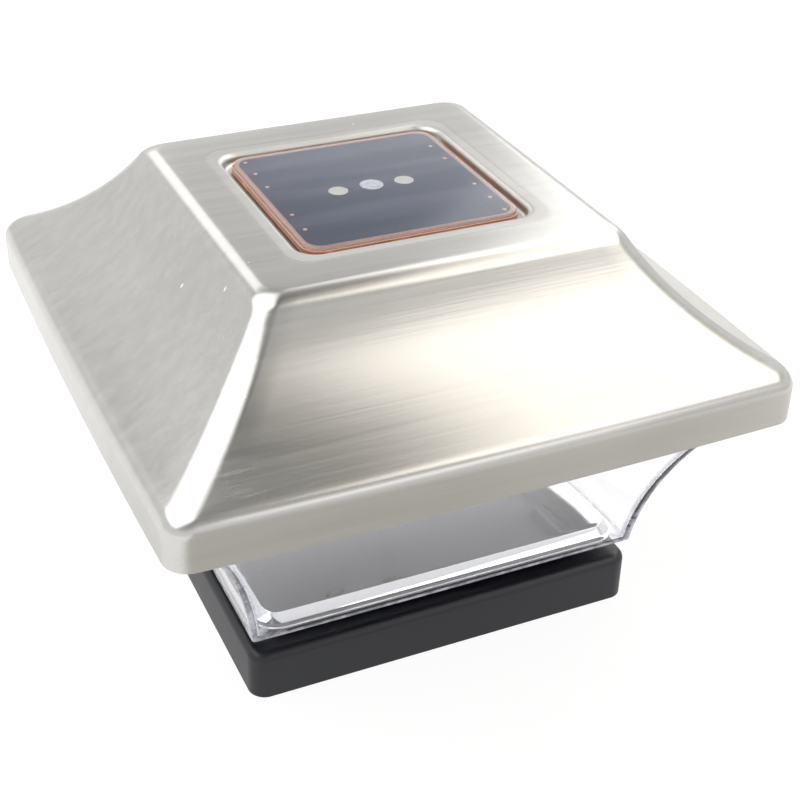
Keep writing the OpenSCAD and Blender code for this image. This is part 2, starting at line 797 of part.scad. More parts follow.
// Cone-shaped spring on its plate, in front of the cell's flat end
spring_path = let (n = spring_turns * 8)
    [for (i = [0 : n]) let (t = i / n, r = spring_r + (spring_tip_r - spring_r) * t, a = 45 * i)
        [spring_x + spring_wire_r + t * (spring_l - 2 * spring_wire_r),
         -bay_y + r * cos(a), cell_axis_z + r * sin(a)]];
spring_gap = min([for (i = [0 : len(spring_path) - 1], j = [0 : len(spring_path) - 1])
    if (j - i >= 5) norm(spring_path[i] - spring_path[j])]) - 2 * spring_wire_r;

module battery_spring() {
    echo(spring_gap = spring_gap);
    color("#d0d0cc") tube(spring_path, spring_wire_r, 6, [1, 0, 0]);
}

// A wire from the panel's underside to the circuit board; side is -1 or 1
module panel_wire(side) {
    pull = [0, 0, wire_pull];
    top = [side * panel_wire_x, panel_wire_y, board_z];
    foot = [side * panel_wire_x, panel_wire_y - wire_pull / 3, circuit_top_z];
    bend = bezier([top - wire_end, top - pull, foot + pull + [side * wire_bow, -wire_bow, 0],
                   foot + wire_end], wire_steps);
    tube(concat([top], bend, [foot]), wire_r, wire_sides, [1, 0, 0]);
}

module panel_wire_red() {
    color("#b02020") panel_wire(1);
}

module panel_wire_black() {
    color("#202020") panel_wire(-1);
}

// A wire from a contact's tag through the tower's wall to the circuit board; side is -1 or 1
module battery_wire(side) {
    tag = [side * (bay_l - contact_t) / 2, -bay_y, bay_top_z + tag_h];
    wall_y = -(tower_w - tower_wall) / 2;
    hole = [side * battery_wire_x, wall_y, wire_hole_z];
    foot = [hole.x, wall_y + wire_pull, circuit_top_z];
    along = [0, wire_pull / 2, 0];
    rise = [0, 0, wire_pull / 2];
    outside = bezier([tag + wire_end, tag + rise, hole - along, hole], wire_steps);
    inside = bezier([hole, hole + along, foot + rise, foot + wire_end], wire_steps);
    tube(concat([tag], outside, [for (i = [1 : wire_steps]) inside[i]], [foot]),
         wire_r, wire_sides, [1, 0, 0]);
}

module battery_wire_red() {
    color("#b02020") battery_wire(1);
}

module battery_wire_black() {
    color("#202020") battery_wire(-1);
}

base();
lens();
reflector_plate();
lens_seal();
housing();
cap_foam_ring();
steel_cap();
panel_tape();
solar_board();
solar_cells();
joint_discs();
copper_dots();
panel_epoxy();
sensor_window();
light_sensor();
circuit_board();
board_screws();
leds();
driver_chip();
inductor();
board_parts();
switch_body();
switch_slider();
battery_cell();
battery_sleeve();
spring_plate();
battery_spring();
contact_plate();
panel_wire_red();
panel_wire_black();
battery_wire_red();
battery_wire_black();
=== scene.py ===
"""Looks of a solar deck post cap light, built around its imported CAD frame.

Every length is in metres, in the frame's own axes: Z is up, and the origin is the centre of the base's rim.
"""

import json
from math import asin, atan2, cos, hypot, pi, radians, sin, sqrt

import bmesh
import bpy
from mathutils import Matrix, Vector, noise

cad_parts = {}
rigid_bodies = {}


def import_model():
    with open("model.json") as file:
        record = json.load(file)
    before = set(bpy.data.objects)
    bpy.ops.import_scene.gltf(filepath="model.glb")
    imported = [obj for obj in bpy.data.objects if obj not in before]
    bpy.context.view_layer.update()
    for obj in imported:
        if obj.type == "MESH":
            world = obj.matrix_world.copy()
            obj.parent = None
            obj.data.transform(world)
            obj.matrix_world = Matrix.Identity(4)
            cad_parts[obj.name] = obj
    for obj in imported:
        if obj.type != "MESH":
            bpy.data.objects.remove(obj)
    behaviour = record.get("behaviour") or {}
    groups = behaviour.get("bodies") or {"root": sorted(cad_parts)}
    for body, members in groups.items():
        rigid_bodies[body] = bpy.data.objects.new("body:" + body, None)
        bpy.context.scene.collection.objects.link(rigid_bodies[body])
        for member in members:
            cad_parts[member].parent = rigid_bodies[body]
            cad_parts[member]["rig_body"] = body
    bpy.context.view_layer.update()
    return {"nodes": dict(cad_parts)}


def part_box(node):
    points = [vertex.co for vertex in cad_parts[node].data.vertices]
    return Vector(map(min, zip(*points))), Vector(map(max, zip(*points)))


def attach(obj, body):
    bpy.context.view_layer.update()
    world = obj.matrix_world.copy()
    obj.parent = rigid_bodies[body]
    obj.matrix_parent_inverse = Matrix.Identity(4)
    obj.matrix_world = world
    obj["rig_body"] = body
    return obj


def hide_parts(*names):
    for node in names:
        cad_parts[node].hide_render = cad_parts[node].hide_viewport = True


bl_info = {
    "name": "Post Cap Light",
    "version": (1, 0, 0),
    "blender": (4, 5, 0),
    "location": "3D View > Sidebar > Post Cap Light",
    "description": "Builds the visible pieces and the studio of a solar post cap light",
    "category": "Object",
}

MM = 0.001
FULL_TURN = 2 * pi

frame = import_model()


def low(node):
    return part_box(node)[0]


def high(node):
    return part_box(node)[1]


# ---------------------------------------------------------------- shader maths


class Field:
    """A value or colour that varies over a surface. Arithmetic on it adds Math nodes to its finish."""

    def __init__(self, finish, socket):
        self.finish = finish
        self.socket = socket

    def _math(self, operation, a, b):
        return self.finish.node("ShaderNodeMath", {"operation": operation}, {0: a, 1: b})

    def __add__(self, other):
        return self._math("ADD", self, other)

    def __radd__(self, other):
        return self._math("ADD", other, self)

    def __sub__(self, other):
        return self._math("SUBTRACT", self, other)

    def __rsub__(self, other):
        return self._math("SUBTRACT", other, self)

    def __mul__(self, other):
        return self._math("MULTIPLY", self, other)

    def __rmul__(self, other):
        return self._math("MULTIPLY", other, self)

    def over(self, edge):
        """1 where the value is above edge, and 0 elsewhere."""
        return self._math("GREATER_THAN", self, edge)


class Finish:
    """A procedural material or world: its node tree, and the few moves that the recipes share."""

    def __init__(self, name, world=None):
        self.owner = world or bpy.data.materials.new(name)
        self.owner.use_nodes = True
        self.tree = self.owner.node_tree
        self.tree.nodes.clear()
        self.output = self.tree.nodes.new("ShaderNodeOutputWorld" if world else "ShaderNodeOutputMaterial")

    def node(self, kind, settings=None, sockets=None, out=0):
        """Adds a node, sets it up, fills its sockets with values or fields, and returns an output."""
        made = self.tree.nodes.new(kind)
        for key, value in (settings or {}).items():
            if key == "stops":
                set_stops(made.color_ramp, value)
            else:
                setattr(made, key, value)
        for key, value in (sockets or {}).items():
            if isinstance(value, Field):
                self.tree.links.new(value.socket, made.inputs[key])
            else:
                made.inputs[key].default_value = value
        return Field(self, made.outputs[out])

    def place(self, stretch=(1, 1, 1)):
        """The point on the piece in its own axes, in metres, stretched along each axis."""
        point = self.node("ShaderNodeTexCoord", out="Object")
        return self.node("ShaderNodeVectorMath", {"operation": "MULTIPLY"}, {0: point, 1: stretch})

    def grain(self, scale, stretch=(1, 1, 1), detail=2.0, warp=0.0):
        """Soft noise from 0 to 1, with about scale features per metre."""
        sockets = {"Vector": self.place(stretch), "Scale": scale, "Detail": detail, "Distortion": warp}
        return self.node("ShaderNodeTexNoise", {}, sockets)

    def cells(self, scale, stretch=(1, 1, 1), feature="F1"):
        """Distances inside a pattern of scattered cells."""
        sockets = {"Vector": self.place(stretch), "Scale": scale}
        return self.node("ShaderNodeTexVoronoi", {"feature": feature}, sockets, "Distance")

    def step(self, field, start, end):
        """0 below start, 1 above end, and smooth between."""
        return self.node("ShaderNodeMapRange", {"interpolation_type": "SMOOTHSTEP"},
                         {"Value": field, "From Min": start, "From Max": end})

    def tint(self, mask, a, b):
        """Colour a where mask is 0, and colour b where it is 1."""
        return self.node("ShaderNodeMix", {"data_type": "RGBA"}, {0: mask, 6: a, 7: b}, out=2)

    def bump(self, height, strength, depth):
        return self.node("ShaderNodeBump", {}, {"Height": height, "Strength": strength, "Distance": depth})

    def coordinates(self):
        """The point's X, Y and Z in the piece's own axes, in metres."""
        point = self.place()
        return [self.node("ShaderNodeSeparateXYZ", {}, {0: point}, out=i) for i in range(3)]

    def outside(self, half, radius):
        """How far the point lies outside a square with rounded corners, seen from above."""
        reach = self.node("ShaderNodeVectorMath", {"operation": "ABSOLUTE"}, {0: self.place()})
        reach = self.node("ShaderNodeVectorMath", {"operation": "SUBTRACT"},
                          {0: reach, 1: (half - radius, half - radius, 1.0)})
        reach = self.node("ShaderNodeVectorMath", {"operation": "MAXIMUM"}, {0: reach, 1: (0, 0, 0)})
        return self.node("ShaderNodeVectorMath", {"operation": "LENGTH"}, {0: reach}, out=1) - radius

    def size_of(self, field):
        return self.node("ShaderNodeMath", {"operation": "ABSOLUTE"}, {0: field})

    def larger(self, a, b):
        return self.node("ShaderNodeMath", {"operation": "MAXIMUM"}, {0: a, 1: b})

    def principled(self, **sockets):
        """A Principled shader. A name such as base_color stands for Base Color."""
        names = {SOCKET_NAMES.get(k, k.replace("_", " ").title()): v for k, v in sockets.items()}
        return self.node("ShaderNodeBsdfPrincipled", {}, names)

    def mix(self, share, a, b):
        """Shader a where share is 0, and shader b where it is 1."""
        return self.node("ShaderNodeMixShader", {}, {0: share, 1: a, 2: b})

    def ray(self, kind):
        """1 for rays of a kind, such as Camera, and 0 for the rest."""
        return self.node("ShaderNodeLightPath", out="Is " + kind + " Ray")

    def end(self, shader):
        self.tree.links.new(shader.socket, self.output.inputs["Surface"])
        return self.owner

    def surface(self, **sockets):
        """Ends the recipe in a Principled surface."""
        return self.end(self.principled(**sockets))


SOCKET_NAMES = {"ior": "IOR", "specular_ior_level": "Specular IOR Level"}


def set_stops(ramp, stops):
    while len(ramp.elements) > 1:
        ramp.elements.remove(ramp.elements[0])
    for i, (place, colour) in enumerate(stops):
        element = ramp.elements[0] if i == 0 else ramp.elements.new(place)
        element.position = place
        element.color = colour


def grey(value):
    return (value, value, value, 1.0)


def shade(tone, share, lift=0.0):
    """The tone made darker or paler by share, and lifted by lift."""
    return tuple(min(1.0, c * share + lift) for c in tone[:3]) + (1,)


# ---------------------------------------------------------------- finishes

SCUFF = (-0.056, -0.067, 0.0755)  # middle of the rubbed patch beside the front left ridge
WELL_DULL = 31 * MM               # half width of the duller square in and around the well
WELL_CORNER = 5 * MM              # corner radius of that square
CELL_BORDER = 0.75 * MM           # how far the pale border reaches in from the cells' outline
TAB_TONE = (0.13, 0.13, 0.15, 1)  # the tabs beside the joint discs, nearly as dark as the cells

def brushed_stainless(tone):
    """Satin steel with fine lines along X, soft clouds, small nicks, hair scratches and one scuff."""
    f = Finish("brushed stainless")
    lines = f.grain(260, (0.12, 6, 6), detail=3)
    broad_lines = f.grain(60, (0.1, 5, 5), detail=2)
    clouds = f.grain(22, detail=2)
    nicks = 1 - f.step(f.cells(120, (1, 1, 0.6)), 0.04, 0.07)
    rare = f.grain(40, detail=1).over(0.56)
    hair = f.step(f.grain(70, (1, 0.06, 1), detail=1, warp=0.4), 0.735, 0.75)
    off = f.node("ShaderNodeVectorMath", {"operation": "DISTANCE"}, {0: f.place(), 1: SCUFF}, out=1)
    scuff = (1 - f.step(off, 3 * MM, 7 * MM)) * f.step(f.grain(500, (0.2, 3, 3), detail=1), 0.5, 0.62)
    marks = f.larger(nicks * rare, scuff * 0.06)
    streaks = f.step(clouds * 0.5 + broad_lines * 0.3 + lines * 0.2, 0.35, 0.65)
    colour = f.tint(streaks, shade(tone, 0.89), tone)
    colour = f.tint(marks * 0.75 + hair * 0.25, colour, grey(0.95))
    well = 1 - f.step(f.outside(WELL_DULL, WELL_CORNER), 0, 1 * MM)
    rough = 0.19 + well * 0.16 + lines * 0.04 + broad_lines * 0.04 + clouds * 0.04 + marks * 0.3
    relief = lines * 0.5 + broad_lines * 0.5 - hair * 0.3
    return f.surface(base_color=colour, metallic=1.0, roughness=rough,
                     normal=f.bump(relief, 0.075, 0.0004))


def mirror_sheet(tone):
    """Bright formed sheet, a little uneven, with a few dust specks."""
    f = Finish("bright reflector sheet")
    waves = f.grain(28, detail=1)
    film = f.grain(35, detail=1, warp=1.0)
    dust = (1 - f.step(f.cells(120), 0.03, 0.045)) * f.grain(40, detail=1).over(0.6)
    warm = (tone[0], tone[1] * 0.985, tone[2] * 0.985, 1)
    cool = (tone[0] * 0.98, tone[1], tone[2], 1)
    colour = f.tint(film, warm, cool)
    return f.surface(base_color=colour, metallic=1.0, roughness=0.03 + dust * 0.5,
                     normal=f.bump(waves, 0.35, 0.0006))


def clear_plastic(tone, haze, foot_z, foot_half):
    """Clear moulded plastic with faint flow ripples; its upright corners and its foot get a painted glow, a
    pale surface that shines with its own light where the plastic would gather light.
    """
    f = Finish("clear lens plastic")
    ripples = f.grain(30, (1, 1, 0.5), detail=1)
    smears = f.grain(45, detail=2)
    x, y, z = f.coordinates()
    x, y = f.size_of(x), f.size_of(y)
    corner = 1 - f.step(f.size_of(x - y), 0.8 * MM, 2.0 * MM)
    low_band = 1 - f.step(z, foot_z + 0.7 * MM, foot_z + 1.4 * MM)
    outer_band = f.step(f.larger(x, y), foot_half - 2.4 * MM, foot_half - 1.6 * MM)
    flecks = f.step(f.grain(260, detail=2), 0.35, 0.65)
    clear = f.principled(base_color=tone, roughness=0.01 + smears * 0.02, ior=1.49, transmission_weight=1.0,
                         normal=f.bump(ripples, 0.12, 0.0003))
    # painted glow: this pale opaque surface emits light at the upright corners and the foot
    milky = f.principled(base_color=f.tint(flecks, shade(haze, 0.75), haze),
                         roughness=0.25, emission_color=haze, emission_strength=0.25)
    share = f.larger(corner, low_band * outer_band) * (0.25 + flecks * 0.35)
    return f.end(f.mix(share, clear, milky))


def satin_black(tone):
    """Black moulded plastic with a fine spark-eroded skin and a few pale dust specks."""
    f = Finish("satin black plastic")
    skin = f.grain(2600, detail=2)
    clouds = f.grain(35, detail=2)
    dust = (1 - f.step(f.cells(110), 0.03, 0.045)) * f.grain(37, detail=1).over(0.62)
    colour = f.tint(clouds, shade(tone, 0.85), tone)
    colour = f.tint(dust * 0.7, colour, grey(0.5))
    return f.surface(base_color=colour, roughness=0.34 + clouds * 0.08, specular_ior_level=0.6,
                     normal=f.bump(skin, 0.12, 0.0001))


def moulded(name, tone, rough):
    """Plain moulded plastic: fine skin, soft changes of tone."""
    f = Finish(name)
    skin = f.grain(1800, detail=2)
    clouds = f.grain(40, detail=2)
    colour = f.tint(clouds, shade(tone, 0.9), tone)
    return f.surface(base_color=colour, roughness=rough + clouds * 0.06,
                     normal=f.bump(skin, 0.1, 0.0001))


def soft_foam(name, tone):
    """Closed-cell foam or soft rubber, pitted and dull."""
    f = Finish(name)
    pits = f.cells(1500)
    clouds = f.grain(90, detail=3)
    colour = f.tint(clouds, shade(tone, 0.7), tone)
    return f.surface(base_color=colour, roughness=0.85, normal=f.bump(pits, 0.5, 0.0002))


def cut_laminate(tone, margin, top_z):
    """Copper-clad board: thin lacquered layers at its cut edge, a pale bare margin on top, and a faint
    painted glow in the board's own colour.
    """
    f = Finish("copper-brown laminate")
    layers = f.grain(700, (0.05, 0.05, 4), detail=2)
    stains = f.grain(160, detail=3)
    dark = shade(tone, 0.35)
    pale = shade(tone, 1.5, 0.03)
    colour = f.tint(f.step(layers, 0.35, 0.7), dark, tone)
    colour = f.tint(f.step(stains, 0.5, 0.8), colour, pale)
    colour = f.tint(f.step(f.coordinates()[2], top_z - 0.06 * MM, top_z - 0.02 * MM), colour, margin)
    # painted glow: the emission makes the whole board shine faintly in its own colour, so its edge stays
    # bright in the narrow gap
    return f.surface(base_color=colour, roughness=0.35, coat_weight=0.3, coat_roughness=0.15,
                     emission_color=tone, emission_strength=0.1,
                     normal=f.bump(layers, 0.4, 0.0001))


def silicon(tone, pale, border, half, corner):
    """Blue-grey cells with broad soft bands along X, inside a pale border of bare board."""
    f = Finish("silicon cells")
    bands = f.grain(130, (0.12, 1, 1), detail=2)
    fine = f.grain(700, (0.02, 1, 1), detail=2)
    colour = f.tint(f.step(bands, 0.35, 0.7), tone, pale)
    colour = f.tint(fine * 0.2, colour, tone)
    edge = f.outside(half - CELL_BORDER, corner) + (fine - 0.5) * 0.2 * MM
    colour = f.tint(f.step(edge, 0.0, 0.15 * MM), colour, border)
    return f.surface(base_color=colour, roughness=0.3 + fine * 0.1, metallic=0.2)


def cast_epoxy(tone):
    """Clear cast resin with a slightly uneven skin."""
    f = Finish("clear epoxy")
    swell = f.grain(70, detail=1)
    smears = f.grain(120, detail=2)
    return f.surface(base_color=tone, roughness=0.16 + smears * 0.06, ior=1.5, transmission_weight=1.0,
                     normal=f.bump(swell, 0.06, 0.0003))


def milky_resin(tone):
    """The sensor's window: pale mottled resin."""
    f = Finish("milky window resin")
    mottle = f.grain(900, detail=3)
    colour = f.tint(f.step(mottle, 0.35, 0.65), shade(tone, 0.7), tone)
    return f.surface(base_color=colour, roughness=0.25 + mottle * 0.2, coat_weight=0.5)


def metal(name, tone, rough):
    """Plated or bare metal with a faint grain and worn patches."""
    f = Finish(name)
    fine = f.grain(1200, detail=2)
    patches = f.grain(220, detail=3)
    colour = f.tint(patches, shade(tone, 0.84), tone)
    return f.surface(base_color=colour, metallic=1.0, roughness=rough + patches * 0.08,
                     normal=f.bump(fine, 0.15, 0.0001))


def matte_metal(name, tone, tab_x=0.0):
    """Solder or etched copper under resin, dulled all over. Nearer the middle than tab_x it is dark."""
    f = Finish(name)
    patches = f.grain(900, detail=3)
    colour = f.tint(patches, shade(tone, 0.85), tone)
    away = f.size_of(f.coordinates()[0])
    colour = f.tint(f.step(away, tab_x - 0.15 * MM, tab_x), TAB_TONE, colour)
    return f.surface(base_color=colour, metallic=0.25, roughness=0.5 + patches * 0.2,
                     normal=f.bump(patches, 0.3, 0.00005))


def circuit_lacquer(tone):
    """Green lacquer with tracks showing through as paler lines."""
    f = Finish("green circuit lacquer")
    tracks = f.cells(170, feature="DISTANCE_TO_EDGE")
    lines = 1 - f.step(tracks, 0.03, 0.06)
    pale = shade(tone, 2.2, 0.02)
    return f.surface(base_color=f.tint(lines, tone, pale), roughness=0.3, coat_weight=0.5,
                     normal=f.bump(lines, 0.3, 0.0001))


def led_resin(tone):
    """Water-clear LED body over its yellow phosphor."""
    f = Finish("led resin")
    depth = f.grain(500, detail=1)
    return f.surface(base_color=f.tint(depth, tone, grey(0.95)), roughness=0.08, ior=1.5,
                     transmission_weight=0.7)


def shrink_film(tone):
    """Plain shrink sleeve with fine wrinkles round the cell."""
    f = Finish("shrink film")
    wrinkles = f.grain(300, (3, 1, 1), detail=2)
    clouds = f.grain(60, detail=2)
    colour = f.tint(clouds, shade(tone, 0.8), tone)
    return f.surface(base_color=colour, roughness=0.28, coat_weight=0.4,
                     normal=f.bump(wrinkles, 0.15, 0.0001))


def insulation(name, tone):
    """Smooth wire insulation, slightly scuffed."""
    f = Finish(name)
    scuffs = f.grain(400, detail=3)
    colour = f.tint(scuffs, shade(tone, 0.75), tone)
    return f.surface(base_color=colour, roughness=0.35 + scuffs * 0.15)


def studio_floor(tone):
    """Pale floor that keeps shadows, with painted pools of light behind and to the right. The camera and the
    lens see it whiter, and in places, at the left and near the base, reflections in the steel and the base
    see a painted glow on it.
    """
    f = Finish("studio floor")
    x, y, _ = f.coordinates()
    # painted pools of light: the floor's colour is paler behind and to the right
    behind = f.step(y * 0.89 - x * 0.45, -0.1, 0.12)
    right = f.step(x, 0.0, 0.3) * 0.8
    clouds = f.grain(3, detail=1) * 0.02
    colour = f.tint(f.larger(behind, right) + clouds, tone, grey(0.92))
    # painted reflection: at the left and near the base, reflections see the floor glowing white
    left = f.step(0 - x, 0.085, 0.15)
    near = 1 - f.step(f.larger(f.size_of(x), f.size_of(y)), 0.07, 0.1)
    seen = f.ray("Camera") * 0.8 + f.ray("Transmission") + f.ray("Glossy") * f.larger(left, near * 0.55)
    lit = f.principled(base_color=colour, roughness=1.0, specular_ior_level=0.0)
    glow = f.node("ShaderNodeEmission", {}, {"Color": grey(1.0), "Strength": 1.15})
    return f.end(f.mix(seen, lit, glow))


# ---------------------------------------------------------------- shapes

CREASE = 35    # degrees between faces up to which a piece is shaded smooth
SHARP = 40     # degrees between faces over which an edge counts as sharp
TOUCH = 1e-6   # points nearer than this are one point

def arc(centre, radius, start, end, steps):
    """Points on an arc from angle start to angle end, in radians."""
    angles = [start + (end - start) * i / steps for i in range(steps + 1)]
    return [(centre[0] + radius * cos(t), centre[1] + radius * sin(t)) for t in angles]


def square_ring(half, z, radius, corner_steps=10, side_steps=1, bow=0.0):
    """One closed loop round a square with round corners; bow draws the corners in."""
    core = half - radius
    turned = [(1, 1), (-1, 1), (-1, -1), (1, -1)]
    points = []
    for quarter, (sx, sy) in enumerate(turned):
        for i in range(corner_steps + 1):
            t = pi / 2 * (quarter + i / corner_steps)
            points.append((sx * core + radius * cos(t), sy * core + radius * sin(t)))
        nx, ny = turned[(quarter + 1) % 4]
        here = points[-1]
        t = pi / 2 * (quarter + 1)
        there = (nx * core + radius * cos(t), ny * core + radius * sin(t))
        for i in range(1, side_steps):
            k = i / side_steps
            points.append((here[0] + (there[0] - here[0]) * k, here[1] + (there[1] - here[1]) * k))
    return [Vector((x * (1 - bow * (y / half) ** 2 / half), y * (1 - bow * (x / half) ** 2 / half), z))
            for x, y in points]


def skin(rings, closed):
    """Points and faces of a surface through rings: a closed loop of rings, or a stack with two end caps."""
    n, m = len(rings[0]), len(rings)
    points = [p for ring in rings for p in ring]
    faces = []
    for i in range(m if closed else m - 1):
        j = (i + 1) % m
        for k in range(n):
            l = (k + 1) % n
            faces.append((i * n + k, i * n + l, j * n + l, j * n + k))
    if not closed:
        faces.append(tuple(reversed(range(n))))
        faces.append(tuple((m - 1) * n + k for k in range(n)))
    return points, faces


def new_mesh(name, points, faces):
    mesh = bpy.data.meshes.new(name)
    mesh.from_pydata([tuple(p) for p in points], [], faces)
    mesh.update()
    return mesh


def add_piece(name, mesh, finish, body, nodes, crease=CREASE):
    """Links a piece with its finish, smooths it up to the crease angle, ties it to its body, and hides the
    nodes that it stands for.
    """
    piece = bpy.data.objects.new(name, mesh)
    bpy.context.scene.collection.objects.link(piece)
    mesh.materials.clear()
    mesh.materials.append(finish)
    mesh.shade_smooth()
    mesh.set_sharp_from_angle(angle=radians(crease))
    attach(piece, body)
    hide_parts(*nodes)
    return piece


def body_of(node):
    return frame["nodes"][node]["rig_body"]


def rounded_copy(node, finish, width):
    """A piece with the node's own shape, whose edges over SHARP degrees are rounded by width."""
    bm = bmesh.new()
    bm.from_mesh(frame["nodes"][node].data)
    bmesh.ops.remove_doubles(bm, verts=bm.verts, dist=TOUCH)
    bmesh.ops.dissolve_limit(bm, angle_limit=radians(1), verts=bm.verts, edges=bm.edges)
    bmesh.ops.recalc_face_normals(bm, faces=bm.faces)
    edges = [e for e in bm.edges if len(e.link_faces) == 2 and e.calc_face_angle(0) > radians(SHARP)]
    bmesh.ops.bevel(bm, geom=edges, offset=width, segments=2, profile=0.5, affect="EDGES",
                    clamp_overlap=True)
    mesh = bpy.data.meshes.new(node + "_piece")
    bm.to_mesh(mesh)
    bm.free()
    return add_piece(node + "_piece", mesh, finish, body_of(node), [node])


def dress(node, finish):
    """Gives a CAD node, whose shape is right, its finish."""
    mesh = frame["nodes"][node].data
    mesh.materials.clear()
    mesh.materials.append(finish)


# ---------------------------------------------------------------- settings


def length(name, text, value, **extra):
    return bpy.props.FloatProperty(name=name, description=text, default=value, unit="LENGTH",
                                   subtype="DISTANCE", precision=5, **extra)


def colour(name, text, value):
    return bpy.props.FloatVectorProperty(name=name, description=text, default=value, size=4, min=0, max=1,
                                         subtype="COLOR")


def angle(name, text, degrees_value):
    return bpy.props.FloatProperty(name=name, description=text, default=radians(degrees_value),
                                   subtype="ANGLE", unit="ROTATION")


class CapSettings(bpy.types.PropertyGroup):
    """Sizes and colour of the steel cap."""
    sheet: length("Sheet", "Thickness of the steel sheet", 0.7 * MM)
    rim_height: length("Rim height", "Upright part of the rim", 7.8 * MM)
    shoulder: length("Shoulder radius", "Radius above the rim", 5 * MM)
    face: length("Face radius", "Radius of the hollow faces in section", 72.2 * MM)
    plateau: length("Plateau width", "Width of the plateau's flat part", 80 * MM)
    plateau_edge: length("Plateau edge radius", "Radius of the plateau's edge", 5.7 * MM)
    ridge_top: length("Upper ridge radius", "Ridge radius seen from above, at the plateau", 4.7 * MM)
    ridge_low: length("Lower ridge radius", "Ridge radius seen from above, at the rim", 5.5 * MM)
    draw_in: length("Corner draw-in", "How far the rim's corners are drawn in", 1.1 * MM)
    well: length("Well width", "Width of the panel well", 56.6 * MM)
    well_corner: length("Well corner", "Corner radius of the panel well", 5.5 * MM)
    well_depth: length("Well depth", "Depth of the panel well", 2.6 * MM)
    well_lip: length("Well lip", "Radius of the well's lip", 1.3 * MM)
    well_fillet: length("Well fillet", "Radius at the well's floor", 1 * MM)
    well_hole: length("Well opening", "Width of the opening in the well's floor", 40 * MM)
    dent: length("Dents", "Depth of the soft waves that pressing leaves", 0.12 * MM)
    tone: colour("Steel", "Colour of the bare steel", (0.64, 0.625, 0.6, 1))


class LensSettings(bpy.types.PropertyGroup):
    """Sizes and colours of the lens and the reflector."""
    flare: length("Flare radius", "Radius of the flared wall in section", 88 * MM)
    flare_start: angle("Flare start", "Angle of the wall from upright at its foot", 6.1)
    foot: length("Foot width", "Outer width of the lens at its foot", 99.4 * MM)
    wall: length("Wall", "Thickness of the walls", 1.8 * MM)
    floor: length("Floor", "Thickness of the floor", 1.1 * MM)
    flange: length("Flange", "Thickness of the flange", 2 * MM)
    foot_z: length("Foot height", "Height of the lens's foot above the base's rim", 17.5 * MM)
    clip_w: length("Clip width", "Width of a clip tongue", 14 * MM)
    clip_t: length("Clip thickness", "Thickness of a clip tongue", 1.7 * MM)
    clip_shift: length("Clip shift", "How far a clip stands off the middle of its side", 4.35 * MM)
    plate: length("Plate width", "Width of the reflector's raised face", 90 * MM)
    plate_spread: length("Plate spread", "How far the reflector's sides spread", 1.6 * MM)
    plate_sheet: length("Plate sheet", "Thickness of the reflector", 0.5 * MM)
    plate_corner: length("Plate corner", "Corner radius of the raised face", 4 * MM)
    tone: colour("Lens", "Colour of the clear plastic", (0.99, 0.99, 1.0, 1))
    # the colour of the painted glow at the lens's corners and foot, a pale surface that emits light
    haze: colour("Edge haze", "Colour where the corners and the foot gather light", (0.8, 0.8, 0.9, 1))
    plate_tone: colour("Reflector", "Colour of the bright sheet", (0.8, 0.8, 0.815, 1))


class BaseSettings(bpy.types.PropertyGroup):
    """Sizes and colour of the base."""
    edge: length("Edge radius", "Radius of the skirt's top edge", 2.2 * MM)
    corner: length("Corner radius", "Radius of the skirt's upright corners", 4.2 * MM)
    height: length("Skirt height", "Height of the skirt", 12.9 * MM)
    wall: length("Wall", "Thickness of the skirt", 3 * MM)
    deck: length("Deck", "Thickness of the deck", 2.5 * MM)
    neck: length("Neck width", "Outer width of the neck", 84 * MM)
    neck_wall: length("Neck wall", "Thickness of the neck's wall", 2.5 * MM)
    tone: colour("Plastic", "Colour of the black plastic", (0.007, 0.008, 0.014, 1))


class PanelSettings(bpy.types.PropertyGroup):
    """Sizes and colours of the solar panel."""
    corner: length("Corner radius", "Corner radius of the panel", 4.5 * MM)
    field_corner: length("Field corner", "Corner radius of the field of cells", 3.6 * MM)
    window: colour("Window", "Colour of the sensor's milky window", (0.47, 0.49, 0.56, 1))
    cell: colour("Cells", "Dark tone of the cells", (0.085, 0.10, 0.145, 1))
    cell_pale: colour("Cell bands", "Pale tone of the cells", (0.14, 0.155, 0.21, 1))
    # this colour is also the colour of the board's painted glow
    edge: colour("Board edge", "Colour of the board's cut edge", (0.6, 0.22, 0.09, 1))
    margin: colour("Board margin", "Colour of the board's bare margin round the cells", (0.5, 0.33, 0.28, 1))
    epoxy: colour("Epoxy", "Colour of the clear epoxy", (0.96, 0.97, 1.0, 1))


class InnerSettings(bpy.types.PropertyGroup):
    """Colours of the pieces inside."""
    housing: colour("Housing", "Colour of the inner housing", (0.42, 0.42, 0.44, 1))
    board: colour("Circuit board", "Colour of the circuit lacquer", (0.02, 0.13, 0.05, 1))
    sleeve: colour("Battery sleeve", "Colour of the cell's sleeve", (0.05, 0.2, 0.09, 1))


class StageSettings(bpy.types.PropertyGroup):
    """Camera and floor. The camera looks at a point beside the light's middle."""
    azimuth: angle("Camera azimuth", "Turn of the camera about the vertical", -23.806)
    elevation: angle("Camera elevation", "Height of the camera above level", 31.179)
    roll: angle("Camera roll", "Turn of the camera about its own axis", 1.476)
    distance: length("Camera distance", "Distance from the light's middle to the camera", 382.295 * MM)
    aim_right: length("Aim right", "How far right of the middle the camera aims", 7.867 * MM)
    aim_up: length("Aim up", "How far above the middle the camera aims", -6.979 * MM)
    middle: length("Middle height", "Height of the point that the camera turns about", 50 * MM)
    lens: bpy.props.FloatProperty(name="Focal length", default=68.462, subtype="DISTANCE_CAMERA",
                                  description="Focal length on a sensor 36 mm wide, in millimetres")
    floor: colour("Floor", "Colour of the floor", (0.49, 0.483, 0.47, 1))


# ---------------------------------------------------------------- pieces

